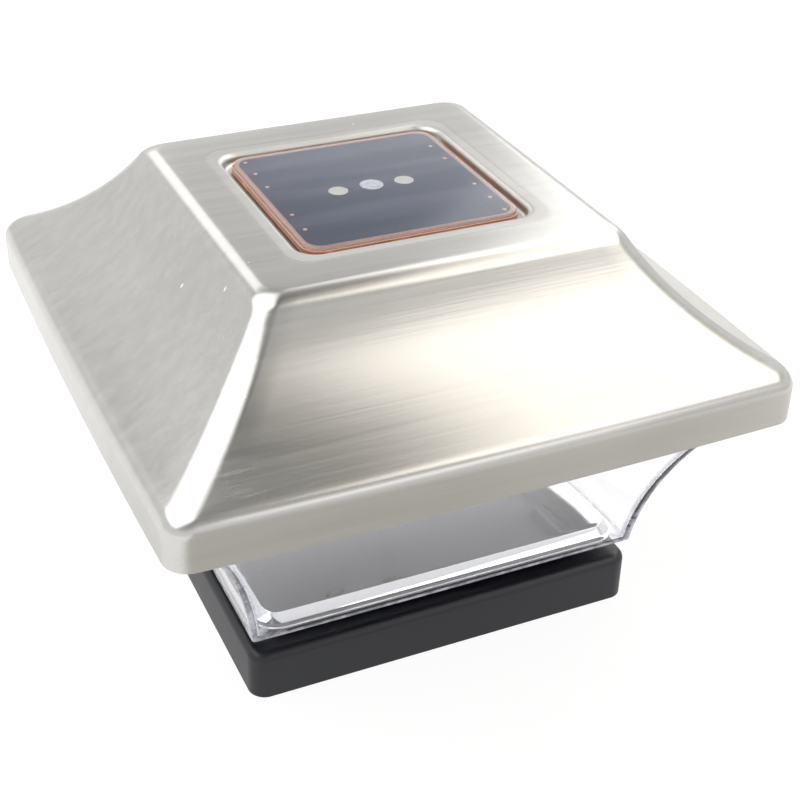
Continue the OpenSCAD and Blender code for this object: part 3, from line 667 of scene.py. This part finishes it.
FACE_FADE = 6 * MM         # the soft dents fade out over this width at the rim
WELL_FADE = 8 * MM         # and over this width at the well
DENTS_PER_METRE = 28
FLANGE_CORNER = 3.4 * MM   # corner radius of the lens's flange
NECK_INNER = 39.5 * MM     # half the width inside the base's neck, which the lens's clips grip
CLIP_ROOM = 0.3 * MM       # room between a clip and the neck
FIXING_PLACE = 30 * MM     # distance of the fixing holes from both centre lines
FIXING_RADIUS = 2.2 * MM
FIXING_CUT = 20 * MM       # length of the cutter that drills them
FIXING_MIDDLE = 12 * MM    # height of that cutter's middle
WINDOW_CROWN = 0.07 * MM
CELL_COUNT = 6
CELL_GAP = 0.03 * MM

def cap_profile(s, depth, cap_half, rim_z, top_z):
    """One skin of the cap in section, from the rim to the well's opening: (half width, height) pairs."""
    shoulder = (cap_half - s.shoulder, rim_z + s.rim_height)
    edge = (s.plateau / 2, top_z - s.plateau_edge)
    ra, rb = s.face + s.shoulder, s.face + s.plateau_edge
    dx, dz = edge[0] - shoulder[0], edge[1] - shoulder[1]
    gap = hypot(dx, dz)
    along = (gap * gap + ra * ra - rb * rb) / (2 * gap)
    off = sqrt(ra * ra - along * along)
    ux, uz = dx / gap, dz / gap
    face = (shoulder[0] + along * ux + off * uz, shoulder[1] + along * uz - off * ux)
    low_turn = atan2(face[1] - shoulder[1], face[0] - shoulder[0])
    high_turn = atan2(face[1] - edge[1], face[0] - edge[0])
    well_z = top_z - s.well_depth
    lip = (s.well / 2 + s.well_lip, top_z - s.well_lip)
    fillet = (s.well / 2 - s.well_fillet, well_z + s.well_fillet)
    rim = [(cap_half - depth, rim_z + s.rim_height * k / 4) for k in range(4)]
    plateau = [(edge[0] + (lip[0] - edge[0]) * k / 3, top_z - depth) for k in (1, 2)]
    return (rim + arc(shoulder, s.shoulder - depth, 0, low_turn, 8)
            + arc(face, s.face + depth, pi + low_turn, pi + high_turn, 26)[1:-1]
            + arc(edge, s.plateau_edge - depth, high_turn, pi / 2, 8) + plateau
            + arc(lip, s.well_lip - depth, pi / 2, pi, 5)
            + arc(fillet, s.well_fillet + depth, 0, -pi / 2, 4)
            + [(s.well_hole / 2, well_z - depth)])


def drawn_in(width, cap, half):
    """How far a ring's corners are drawn in: nothing on the plateau, and the most at the rim."""
    share = (width - cap.plateau / 2) / (half - cap.plateau / 2)
    return cap.draw_in * min(1.0, max(0.0, share))


def build_cap(s):
    low_corner, high_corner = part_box("steel_cap")
    half, rim_z, top_z = high_corner.x, low_corner.z, high_corner.z
    outer = cap_profile(s, 0.0, half, rim_z, top_z)
    inner = cap_profile(s, s.sheet, half, rim_z, top_z)

    def ridge(width):
        if width < s.plateau / 2:
            return s.well_corner
        t = (width - s.plateau / 2) / (half - s.plateau / 2)
        return s.ridge_top + (s.ridge_low - s.ridge_top) * min(1.0, t)

    def drawn(width):
        return drawn_in(width, s, half)

    rings = [square_ring(w, z, ridge(w), 10, 20, drawn(w)) for w, z in outer]
    rings += [square_ring(w, z, ridge(v) - v + w, 10, 20, drawn(v))
              for (w, z), (v, _) in zip(reversed(inner), reversed(outer))]
    points, faces = skin(rings, closed=True)
    mesh = new_mesh("steel_cap_piece", points, faces)
    count = len(rings[0]) * len(outer)
    for i, v in enumerate(mesh.vertices):
        depth = noise.noise(v.co * DENTS_PER_METRE) * s.dent
        width = max(abs(v.co.x), abs(v.co.y))
        face_share = min(1.0, max(0.0, (half - width) / FACE_FADE))
        flat_share = min(1.0, max(0.0, (width - s.well / 2) / WELL_FADE))
        side = 1 if i < count else -1
        v.co -= v.normal * side * (depth + s.dent) * 0.5 * face_share * flat_share
    return add_piece("steel_cap_piece", mesh, brushed_stainless(s.tone), "head", ["steel_cap"],
                     crease=50)


def build_lens(s, cap):
    foot_z, top_z = s.foot_z, high("lens").z
    start = s.flare_start
    centre = (s.foot / 2 + s.flare * cos(start), foot_z - s.flare * sin(start))
    outer_r, inner_r = s.flare, s.flare + s.wall
    flange_z, floor_z = top_z - s.flange, foot_z + s.floor
    outer_end = asin((flange_z - centre[1]) / outer_r)
    inner_top = asin((top_z - centre[1]) / inner_r)
    inner_low = asin((floor_z - centre[1]) / inner_r)
    outer = arc(centre, outer_r, pi - start, pi - outer_end, 40)
    inner = arc(centre, inner_r, pi - inner_top, pi - inner_low, 40)
    flange_half, soft = high("lens").x, 0.25 * MM
    rings = [square_ring(outer[0][0] - soft, foot_z, 0.6 * MM, 4)]
    rings += [square_ring(w, max(z, foot_z + soft), 0.8 * MM, 4) for w, z in outer]
    drawn = drawn_in(flange_half, cap, high("steel_cap").x)
    rings += [square_ring(flange_half, z, FLANGE_CORNER, 4, 1, drawn) for z in (flange_z, top_z)]
    rings += [square_ring(w, z, 0.5 * MM, 4) for w, z in inner]
    points, faces = skin(rings, closed=False)
    bm = bmesh.new()
    bm.from_mesh(new_mesh("lens_piece", points, faces))
    add_clips(bm, s)
    mesh = bpy.data.meshes.new("lens_piece")
    bm.to_mesh(mesh)
    bm.free()
    plastic = clear_plastic(s.tone, s.haze, foot_z, s.foot / 2)
    return add_piece("lens_piece", mesh, plastic, "lens_unit", ["lens"], crease=40)


def add_clips(bm, s):
    """Four tongues under the lens's floor, each with a rounded lower edge."""
    tip_z = low("lens").z
    clip_y = NECK_INNER - CLIP_ROOM - s.clip_t / 2
    for quarter in range(4):
        turn = Matrix.Rotation(quarter * pi / 2, 4, "Z")
        size = Matrix.Diagonal((s.clip_w, s.clip_t, s.foot_z - tip_z, 1))
        middle = Matrix.Translation((-s.clip_shift, clip_y, (s.foot_z + tip_z) / 2))
        made = bmesh.ops.create_cube(bm, size=1, matrix=turn @ middle @ size)
        edges = {e for v in made["verts"] for e in v.link_edges
                 if all(u.co.z < s.foot_z - MM for u in e.verts)}
        bmesh.ops.bevel(bm, geom=list(edges), offset=0.5 * MM, segments=3, profile=0.5, affect="EDGES")


def build_reflector(s):
    low_corner, high_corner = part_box("reflector_plate")
    floor_z, top_z, edge = low_corner.z, high_corner.z, high_corner.x
    top, foot, t = s.plate / 2, s.plate / 2 + s.plate_spread, s.plate_sheet
    corner, soft = s.plate_corner, 0.5 * MM
    drop = top_z - floor_z - t
    slope = atan2(s.plate_spread, drop)
    fold = arc((top - soft, top_z - soft), soft, slope, pi / 2, 6)
    rings = [square_ring(top - t, top_z - t, corner - t, 10),
             square_ring(foot - t, floor_z, corner + s.plate_spread - t, 10),
             square_ring(edge, floor_z, corner + edge - top, 10),
             square_ring(edge, floor_z + t, corner + edge - top, 10),
             square_ring(foot + 0.3 * MM, floor_z + t, corner + s.plate_spread, 10),
             square_ring(foot - 0.05 * MM, floor_z + t + 0.25 * MM, corner + s.plate_spread, 10)]
    rings += [square_ring(w, z, corner - top + w, 10) for w, z in fold]
    points, faces = skin(rings, closed=False)
    mesh = new_mesh("reflector_piece", points, faces)
    return add_piece("reflector_piece", mesh, mirror_sheet(s.plate_tone), "lens_unit", ["reflector_plate"],
                     crease=60)


def build_base(s):
    half = high("base").x
    deck_z, neck_top = s.height - s.deck, high("base").z
    soft = 0.3 * MM
    neck, neck_in = s.neck / 2, s.neck / 2 - s.neck_wall
    socket = half - s.wall
    edge = arc((half - s.edge, s.height - s.edge), s.edge, 0, pi / 2, 8)
    shape = [(socket - 2 * soft, deck_z), (socket, deck_z - soft), (socket, soft), (socket + soft, 0),
             (half - soft, 0), (half, soft)] + edge
    shape += [(neck + soft, s.height), (neck, s.height + soft), (neck, neck_top - soft),
              (neck - soft, neck_top), (neck_in + soft, neck_top), (neck_in, neck_top - soft),
              (neck_in, s.height + soft), (neck_in - soft, s.height)]
    rings = []
    for w, z in shape:
        corner = max(0.8 * MM, s.corner - half + w) if w > neck + soft else max(1.5 * MM, s.corner - neck + w)
        rings.append(square_ring(w, z, corner, 10))
    points, faces = skin(rings, closed=False)
    mesh = new_mesh("base_piece", points, faces)
    piece = add_piece("base_piece", mesh, satin_black(s.tone), "base_body", ["base"])
    cut_fixing_holes(piece)
    add_ribs(piece.data, socket, deck_z)
    return piece


def cut_fixing_holes(piece):
    """Drills the deck's four fixing holes."""
    cutter_mesh = bpy.data.meshes.new("fixing_cutter")
    bm = bmesh.new()
    for x in (-FIXING_PLACE, FIXING_PLACE):
        for y in (-FIXING_PLACE, FIXING_PLACE):
            bmesh.ops.create_cone(bm, cap_ends=True, segments=40, radius1=FIXING_RADIUS,
                                  radius2=FIXING_RADIUS, depth=FIXING_CUT,
                                  matrix=Matrix.Translation((x, y, FIXING_MIDDLE)))
    bm.to_mesh(cutter_mesh)
    bm.free()
    cutter = bpy.data.objects.new("fixing_cutter", cutter_mesh)
    bpy.context.scene.collection.objects.link(cutter)
    cut = piece.modifiers.new("fixing holes", "BOOLEAN")
    cut.operation, cut.object, cut.solver = "DIFFERENCE", cutter, "EXACT"
    bpy.context.view_layer.update()
    drilled = bpy.data.meshes.new_from_object(piece.evaluated_get(bpy.context.evaluated_depsgraph_get()))
    piece.modifiers.clear()
    piece.data = drilled
    bpy.data.objects.remove(cutter)


def add_ribs(mesh, socket, deck_z):
    """Crush ribs that grip the post, three on each inner side."""
    depth, width, pitch, sink, soft = 1.75 * MM, 2 * MM, 28 * MM, 0.1 * MM, 0.3 * MM
    bm = bmesh.new()
    bm.from_mesh(mesh)
    for quarter in range(4):
        turn = Matrix.Rotation(quarter * pi / 2, 4, "Z")
        for step in (-1, 0, 1):
            place = Matrix.Translation((step * pitch, socket - depth / 2 + sink, deck_z / 2))
            size = Matrix.Diagonal((width, depth + 2 * sink, deck_z, 1))
            made = bmesh.ops.create_cube(bm, size=1, matrix=turn @ place @ size)
            inner = [e for v in made["verts"] for e in v.link_edges]
            bmesh.ops.bevel(bm, geom=list(set(inner)), offset=soft, segments=2, profile=0.5,
                            affect="EDGES")
    bm.to_mesh(mesh)
    bm.free()


def slab_mesh(name, half, corner, z0, z1, edge, steps=8):
    """A square slab with round corners and a rounded upper edge."""
    rings = [square_ring(half, z0, corner, steps)]
    rings += [square_ring(w, z, corner - half + w, steps)
              for w, z in arc((half - edge, z1 - edge), edge, 0, pi / 2, 4)]
    return new_mesh(name, *skin(rings, closed=False))


def build_panel(s):
    board_low, board_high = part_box("solar_board")
    cells_low, cells_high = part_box("solar_cells")
    epoxy_low, epoxy_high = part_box("panel_epoxy")
    half = board_high.x
    board = slab_mesh("solar_board_piece", half, s.corner, board_low.z, board_high.z, 0.15 * MM)
    laminate = cut_laminate(s.edge, s.margin, board_high.z)
    add_piece("solar_board_piece", board, laminate, "head", ["solar_board"])
    strips = cell_strips(cells_low, cells_high, s.field_corner)
    cells = silicon(s.cell, s.cell_pale, s.margin, cells_high.x, s.field_corner)
    add_piece("solar_cells_piece", strips, cells, "head", ["solar_cells"], crease=30)
    inset = half - epoxy_high.x
    epoxy = slab_mesh("panel_epoxy_piece", epoxy_high.x, s.corner - inset, epoxy_low.z + 0.02 * MM,
                      epoxy_high.z, 0.45 * MM)
    add_piece("panel_epoxy_piece", epoxy, cast_epoxy(s.epoxy), "head", ["panel_epoxy"])
    tab_x = high("joint_discs").x - (high("joint_discs").y - low("joint_discs").y)
    rounded_copy("joint_discs", matte_metal("tinned joint", (0.72, 0.70, 0.66, 1), tab_x), 0.03 * MM)
    rounded_copy("copper_dots", matte_metal("copper dot", (0.85, 0.52, 0.40, 1)), 0.02 * MM)
    add_piece("sensor_window_piece", window_mesh(s), milky_resin(s.window), "head", ["sensor_window"])
    rounded_copy("light_sensor", moulded("sensor resin", (0.2, 0.07, 0.04, 1), 0.2), 0.2 * MM)
    rounded_copy("panel_tape", soft_foam("foam tape", (0.02, 0.02, 0.022, 1)), 0.05 * MM)


def window_mesh(s):
    """A round plug whose crown stands just proud of the epoxy."""
    low_corner, high_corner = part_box("sensor_window")
    radius, crown = high_corner.x, WINDOW_CROWN
    rings = [(radius, low_corner.z), (radius, high_corner.z)]
    rings += [(radius * cos(t), high_corner.z + crown * sin(t))
              for t in (pi / 8, pi / 4, pi * 0.4, pi * 0.48)]
    loops = [[Vector((r * cos(FULL_TURN * k / 48), r * sin(FULL_TURN * k / 48), z)) for k in range(48)]
             for r, z in rings]
    return new_mesh("sensor_window_piece", *skin(loops, closed=False))


def cell_strips(low_corner, high_corner, corner):
    """Silicon strips side by side along Y, rounded at the corners of the field."""
    width = (high_corner.y - low_corner.y - (CELL_COUNT - 1) * CELL_GAP) / CELL_COUNT
    bm = bmesh.new()
    for i in range(CELL_COUNT):
        y = low_corner.y + width / 2 + i * (width + CELL_GAP)
        middle = Matrix.Translation((0, y, (low_corner.z + high_corner.z) / 2))
        size = Matrix.Diagonal((high_corner.x - low_corner.x, width, high_corner.z - low_corner.z, 1))
        made = bmesh.ops.create_cube(bm, size=1, matrix=middle @ size)
        edges = {e for v in made["verts"] for e in v.link_edges}
        outer = [e for e in edges if i in (0, CELL_COUNT - 1) and is_field_corner(e, low_corner, high_corner)]
        if outer:
            bmesh.ops.bevel(bm, geom=outer, offset=corner, segments=8, profile=0.5, affect="EDGES")
    mesh = bpy.data.meshes.new("solar_cells_piece")
    bm.to_mesh(mesh)
    bm.free()
    return mesh


def build_housing(s, cap):
    cap_half = high("steel_cap").x
    deck = rounded_copy("housing", moulded("grey housing plastic", s.housing, 0.45), 0.25 * MM)
    seal = rounded_copy("lens_seal", soft_foam("seal rubber", (0.09, 0.09, 0.1, 1)), 0.1 * MM)
    for piece in (deck, seal):
        follow_rim(piece.data, cap, cap_half)
    rounded_copy("cap_foam_ring", soft_foam("foam ring", (0.02, 0.02, 0.022, 1)), 0.1 * MM)


def is_field_corner(edge, low_corner, high_corner):
    """Whether an upright edge stands at a corner of the field of cells."""
    a, b = (v.co for v in edge.verts)
    upright = hypot(a.x - b.x, a.y - b.y) < TOUCH
    return upright and min(abs(a.y - low_corner.y), abs(a.y - high_corner.y)) < TOUCH


def follow_rim(mesh, cap, cap_half):
    """Draws a hidden piece's outer corners in, as the steel rim's corners are."""
    for v in mesh.vertices:
        width = max(abs(v.co.x), abs(v.co.y))
        if width > cap.plateau / 2:
            drawn = drawn_in(width, cap, cap_half) / width
            x, y = v.co.x, v.co.y
            v.co.x = x * (1 - drawn * (y / width) ** 2)
            v.co.y = y * (1 - drawn * (x / width) ** 2)


def build_circuit(s):
    rounded_copy("circuit_board", circuit_lacquer(s.board), 0.1 * MM)
    rounded_copy("board_screws", metal("zinc screw", (0.6, 0.6, 0.62, 1), 0.25), 0.12 * MM)
    rounded_copy("driver_chip", moulded("chip resin", (0.02, 0.02, 0.022, 1), 0.5), 0.05 * MM)
    rounded_copy("inductor", moulded("ferrite", (0.03, 0.03, 0.035, 1), 0.55), 0.2 * MM)
    rounded_copy("board_parts", moulded("part glaze", (0.3, 0.24, 0.16, 1), 0.3), 0.06 * MM)
    rounded_copy("leds", led_resin((0.95, 0.9, 0.6, 1)), 0.1 * MM)
    rounded_copy("switch_body", metal("nickel shell", (0.62, 0.62, 0.6, 1), 0.25), 0.1 * MM)
    rounded_copy("switch_slider", moulded("slider plastic", (0.02, 0.02, 0.022, 1), 0.4), 0.15 * MM)


def build_battery(s):
    rounded_copy("battery_cell", metal("nickel-plated can", (0.66, 0.66, 0.65, 1), 0.22), 0.25 * MM)
    rounded_copy("battery_sleeve", shrink_film(s.sleeve), 0.05 * MM)
    plated = metal("nickel contact", (0.68, 0.67, 0.63, 1), 0.2)
    rounded_copy("spring_plate", plated, 0.08 * MM)
    rounded_copy("contact_plate", plated, 0.08 * MM)
    dress("battery_spring", plated)


def build_wires():
    red = insulation("red insulation", (0.45, 0.03, 0.03, 1))
    black = insulation("black insulation", (0.025, 0.025, 0.025, 1))
    for owner in ("panel_wire", "battery_wire"):
        dress(owner + "_red", red)
        dress(owner + "_black", black)


# ---------------------------------------------------------------- stage

SENSOR_WIDTH = 36                     # millimetres
CLIP_START = 0.01                     # metres
LIGHT_MIDDLE = Vector((0, 0, 0.06))   # the lamps shine towards this point
FLOOR_REACH = 3.0                     # half the floor's width, in metres
WARM = (1.0, 0.96, 0.88)
PLAIN = (1.0, 1.0, 1.0)
# The world's grey level by the upward part of the direction
SKY = ((0.0, 0.84), (0.36, 0.92), (0.5, 0.54), (0.7, 0.4), (0.85, 0.2), (1.0, 0.05))
# Name, direction towards the lamp, distance, width, height, radiance and colour
SOFTBOXES = (
    ("right softbox", (0.616, -0.075, 0.784), 1.2, 1.78, 0.65, 1.95, WARM),
    ("left softbox", (-0.446, 0.1, 0.889), 1.18, 1.5, 1.32, 2.0, PLAIN),
    ("back right softbox", (0.57, 0.55, 0.61), 1.4, 0.62, 1.1, 1.3, PLAIN),
    ("back softbox", (-0.066, 0.84, 0.54), 1.4, 0.56, 0.5, 1.25, PLAIN),
    ("front softbox", (0.36, -0.85, 0.38), 1.3, 0.6, 0.3, 0.8, PLAIN),
)

def aim_camera(s):
    """Turns the camera as the photograph was taken."""
    back = Vector((sin(s.azimuth) * cos(s.elevation), -cos(s.azimuth) * cos(s.elevation), sin(s.elevation)))
    upright = Vector((0, 0, 1))
    side = (-back).cross(upright).normalized()
    lift = side.cross(-back)
    middle = Vector((0, 0, s.middle))
    place = middle + back * s.distance
    target = middle + side * s.aim_right + lift * s.aim_up
    forward = (target - place).normalized()
    right = forward.cross(upright).normalized()
    up = right.cross(forward)
    rolled_right = right * cos(s.roll) + up * sin(s.roll)
    rolled_up = -right * sin(s.roll) + up * cos(s.roll)
    camera = bpy.data.objects.new("camera", bpy.data.cameras.new("camera"))
    bpy.context.scene.collection.objects.link(camera)
    camera.matrix_world = Matrix((
        (rolled_right.x, rolled_up.x, -forward.x, place.x),
        (rolled_right.y, rolled_up.y, -forward.y, place.y),
        (rolled_right.z, rolled_up.z, -forward.z, place.z),
        (0, 0, 0, 1)))
    camera.data.lens = s.lens
    camera.data.sensor_width = SENSOR_WIDTH
    camera.data.clip_start = CLIP_START
    bpy.context.scene.camera = camera


def add_softbox(name, direction, distance, width, height, radiance, colour):
    """A large area lamp that shines on the light from a direction, as bright as radiance all over."""
    lamp = bpy.data.lights.new(name, "AREA")
    lamp.shape = "RECTANGLE"
    lamp.size, lamp.size_y = width, height
    lamp.energy = radiance * pi * width * height
    lamp.color = colour
    item = bpy.data.objects.new(name, lamp)
    bpy.context.scene.collection.objects.link(item)
    away = Vector(direction).normalized()
    item.location = LIGHT_MIDDLE + away * distance
    item.rotation_euler = away.to_track_quat("Z", "Y").to_euler()
    item.visible_camera = False


def light_world():
    """Even white surroundings that darken towards the ceiling. Camera and lens see plain white."""
    world = bpy.data.worlds.new("studio")
    bpy.context.scene.world = world
    f = Finish("studio", world)
    point = f.node("ShaderNodeTexCoord", out="Generated")
    height = f.node("ShaderNodeSeparateXYZ", {}, {0: point}, out="Z")
    sky = f.node("ShaderNodeValToRGB", {"stops": [(z, grey(v)) for z, v in SKY]}, {0: height})
    colour = f.tint(f.larger(f.ray("Camera"), f.ray("Transmission")), sky, grey(1.0))
    f.end(f.node("ShaderNodeBackground", {}, {"Color": colour}))


def build_stage(s):
    aim_camera(s)
    light_world()
    bpy.context.scene.view_settings.view_transform = "Standard"
    bm = bmesh.new()
    bmesh.ops.create_grid(bm, x_segments=2, y_segments=2, size=FLOOR_REACH)
    mesh = bpy.data.meshes.new("floor")
    bm.to_mesh(mesh)
    bm.free()
    floor = bpy.data.objects.new("floor", mesh)
    bpy.context.scene.collection.objects.link(floor)
    mesh.materials.append(studio_floor(s.floor))
    for softbox in SOFTBOXES:
        add_softbox(*softbox)


# ---------------------------------------------------------------- operators


class POSTCAP_OT_stage(bpy.types.Operator):
    """Set the camera, the lamps and the floor"""
    bl_idname = "postcap.stage"
    bl_label = "Stage"

    def execute(self, context):
        build_stage(context.scene.postcap_stage)
        return {"FINISHED"}


class POSTCAP_OT_steel_cap(bpy.types.Operator):
    """Build the pressed steel cap"""
    bl_idname = "postcap.steel_cap"
    bl_label = "Steel cap"

    def execute(self, context):
        build_cap(context.scene.postcap_cap)
        return {"FINISHED"}


class POSTCAP_OT_lens(bpy.types.Operator):
    """Build the clear flared lens"""
    bl_idname = "postcap.lens"
    bl_label = "Lens"

    def execute(self, context):
        build_lens(context.scene.postcap_lens, context.scene.postcap_cap)
        return {"FINISHED"}


class POSTCAP_OT_reflector(bpy.types.Operator):
    """Build the bright reflector plate"""
    bl_idname = "postcap.reflector"
    bl_label = "Reflector"

    def execute(self, context):
        build_reflector(context.scene.postcap_lens)
        return {"FINISHED"}


class POSTCAP_OT_base(bpy.types.Operator):
    """Build the black base"""
    bl_idname = "postcap.base"
    bl_label = "Base"

    def execute(self, context):
        build_base(context.scene.postcap_base)
        return {"FINISHED"}


class POSTCAP_OT_panel(bpy.types.Operator):
    """Build the solar panel and what lies in and under it"""
    bl_idname = "postcap.solar_panel"
    bl_label = "Solar panel"

    def execute(self, context):
        build_panel(context.scene.postcap_panel)
        return {"FINISHED"}


class POSTCAP_OT_housing(bpy.types.Operator):
    """Build the inner housing with its seal and foam"""
    bl_idname = "postcap.housing"
    bl_label = "Housing"

    def execute(self, context):
        build_housing(context.scene.postcap_inner, context.scene.postcap_cap)
        return {"FINISHED"}


class POSTCAP_OT_circuit(bpy.types.Operator):
    """Build the circuit board, its parts, the LEDs and the switch"""
    bl_idname = "postcap.circuit"
    bl_label = "Circuit"

    def execute(self, context):
        build_circuit(context.scene.postcap_inner)
        return {"FINISHED"}


class POSTCAP_OT_battery(bpy.types.Operator):
    """Build the battery and its contacts"""
    bl_idname = "postcap.battery"
    bl_label = "Battery"

    def execute(self, context):
        build_battery(context.scene.postcap_inner)
        return {"FINISHED"}


class POSTCAP_OT_wires(bpy.types.Operator):
    """Give the wires their insulation"""
    bl_idname = "postcap.wires"
    bl_label = "Wires"

    def execute(self, context):
        build_wires()
        return {"FINISHED"}


SETTINGS = {
    "postcap_stage": StageSettings,
    "postcap_cap": CapSettings,
    "postcap_lens": LensSettings,
    "postcap_base": BaseSettings,
    "postcap_panel": PanelSettings,
    "postcap_inner": InnerSettings,
}
OPERATORS = (POSTCAP_OT_stage, POSTCAP_OT_steel_cap, POSTCAP_OT_lens, POSTCAP_OT_reflector, POSTCAP_OT_base,
             POSTCAP_OT_panel, POSTCAP_OT_housing, POSTCAP_OT_circuit, POSTCAP_OT_battery, POSTCAP_OT_wires)


class POSTCAP_PT_build(bpy.types.Panel):
    """Lists the build steps and their settings"""
    bl_idname = "POSTCAP_PT_build"
    bl_label = "Post Cap Light"
    bl_space_type = "VIEW_3D"
    bl_region_type = "UI"
    bl_category = "Post Cap Light"

    def draw(self, context):
        for operator in OPERATORS:
            self.layout.operator(operator.bl_idname)
        for name, group in SETTINGS.items():
            box = self.layout.box()
            box.label(text=name.removeprefix("postcap_").title())
            for key in group.__annotations__:
                box.prop(getattr(context.scene, name), key)


def register():
    for name, group in SETTINGS.items():
        bpy.utils.register_class(group)
        setattr(bpy.types.Scene, name, bpy.props.PointerProperty(type=group))
    for item in OPERATORS + (POSTCAP_PT_build,):
        bpy.utils.register_class(item)


def unregister():
    for item in reversed(OPERATORS + (POSTCAP_PT_build,)):
        bpy.utils.unregister_class(item)
    for name, group in reversed(SETTINGS.items()):
        delattr(bpy.types.Scene, name)
        bpy.utils.unregister_class(group)


def main():
    register()
    bpy.ops.postcap.stage()
    bpy.ops.postcap.steel_cap()
    bpy.ops.postcap.lens()
    bpy.ops.postcap.reflector()
    bpy.ops.postcap.base()
    bpy.ops.postcap.solar_panel()
    bpy.ops.postcap.housing()
    bpy.ops.postcap.circuit()
    bpy.ops.postcap.battery()
    bpy.ops.postcap.wires()


if __name__ == "__main__":
    main()
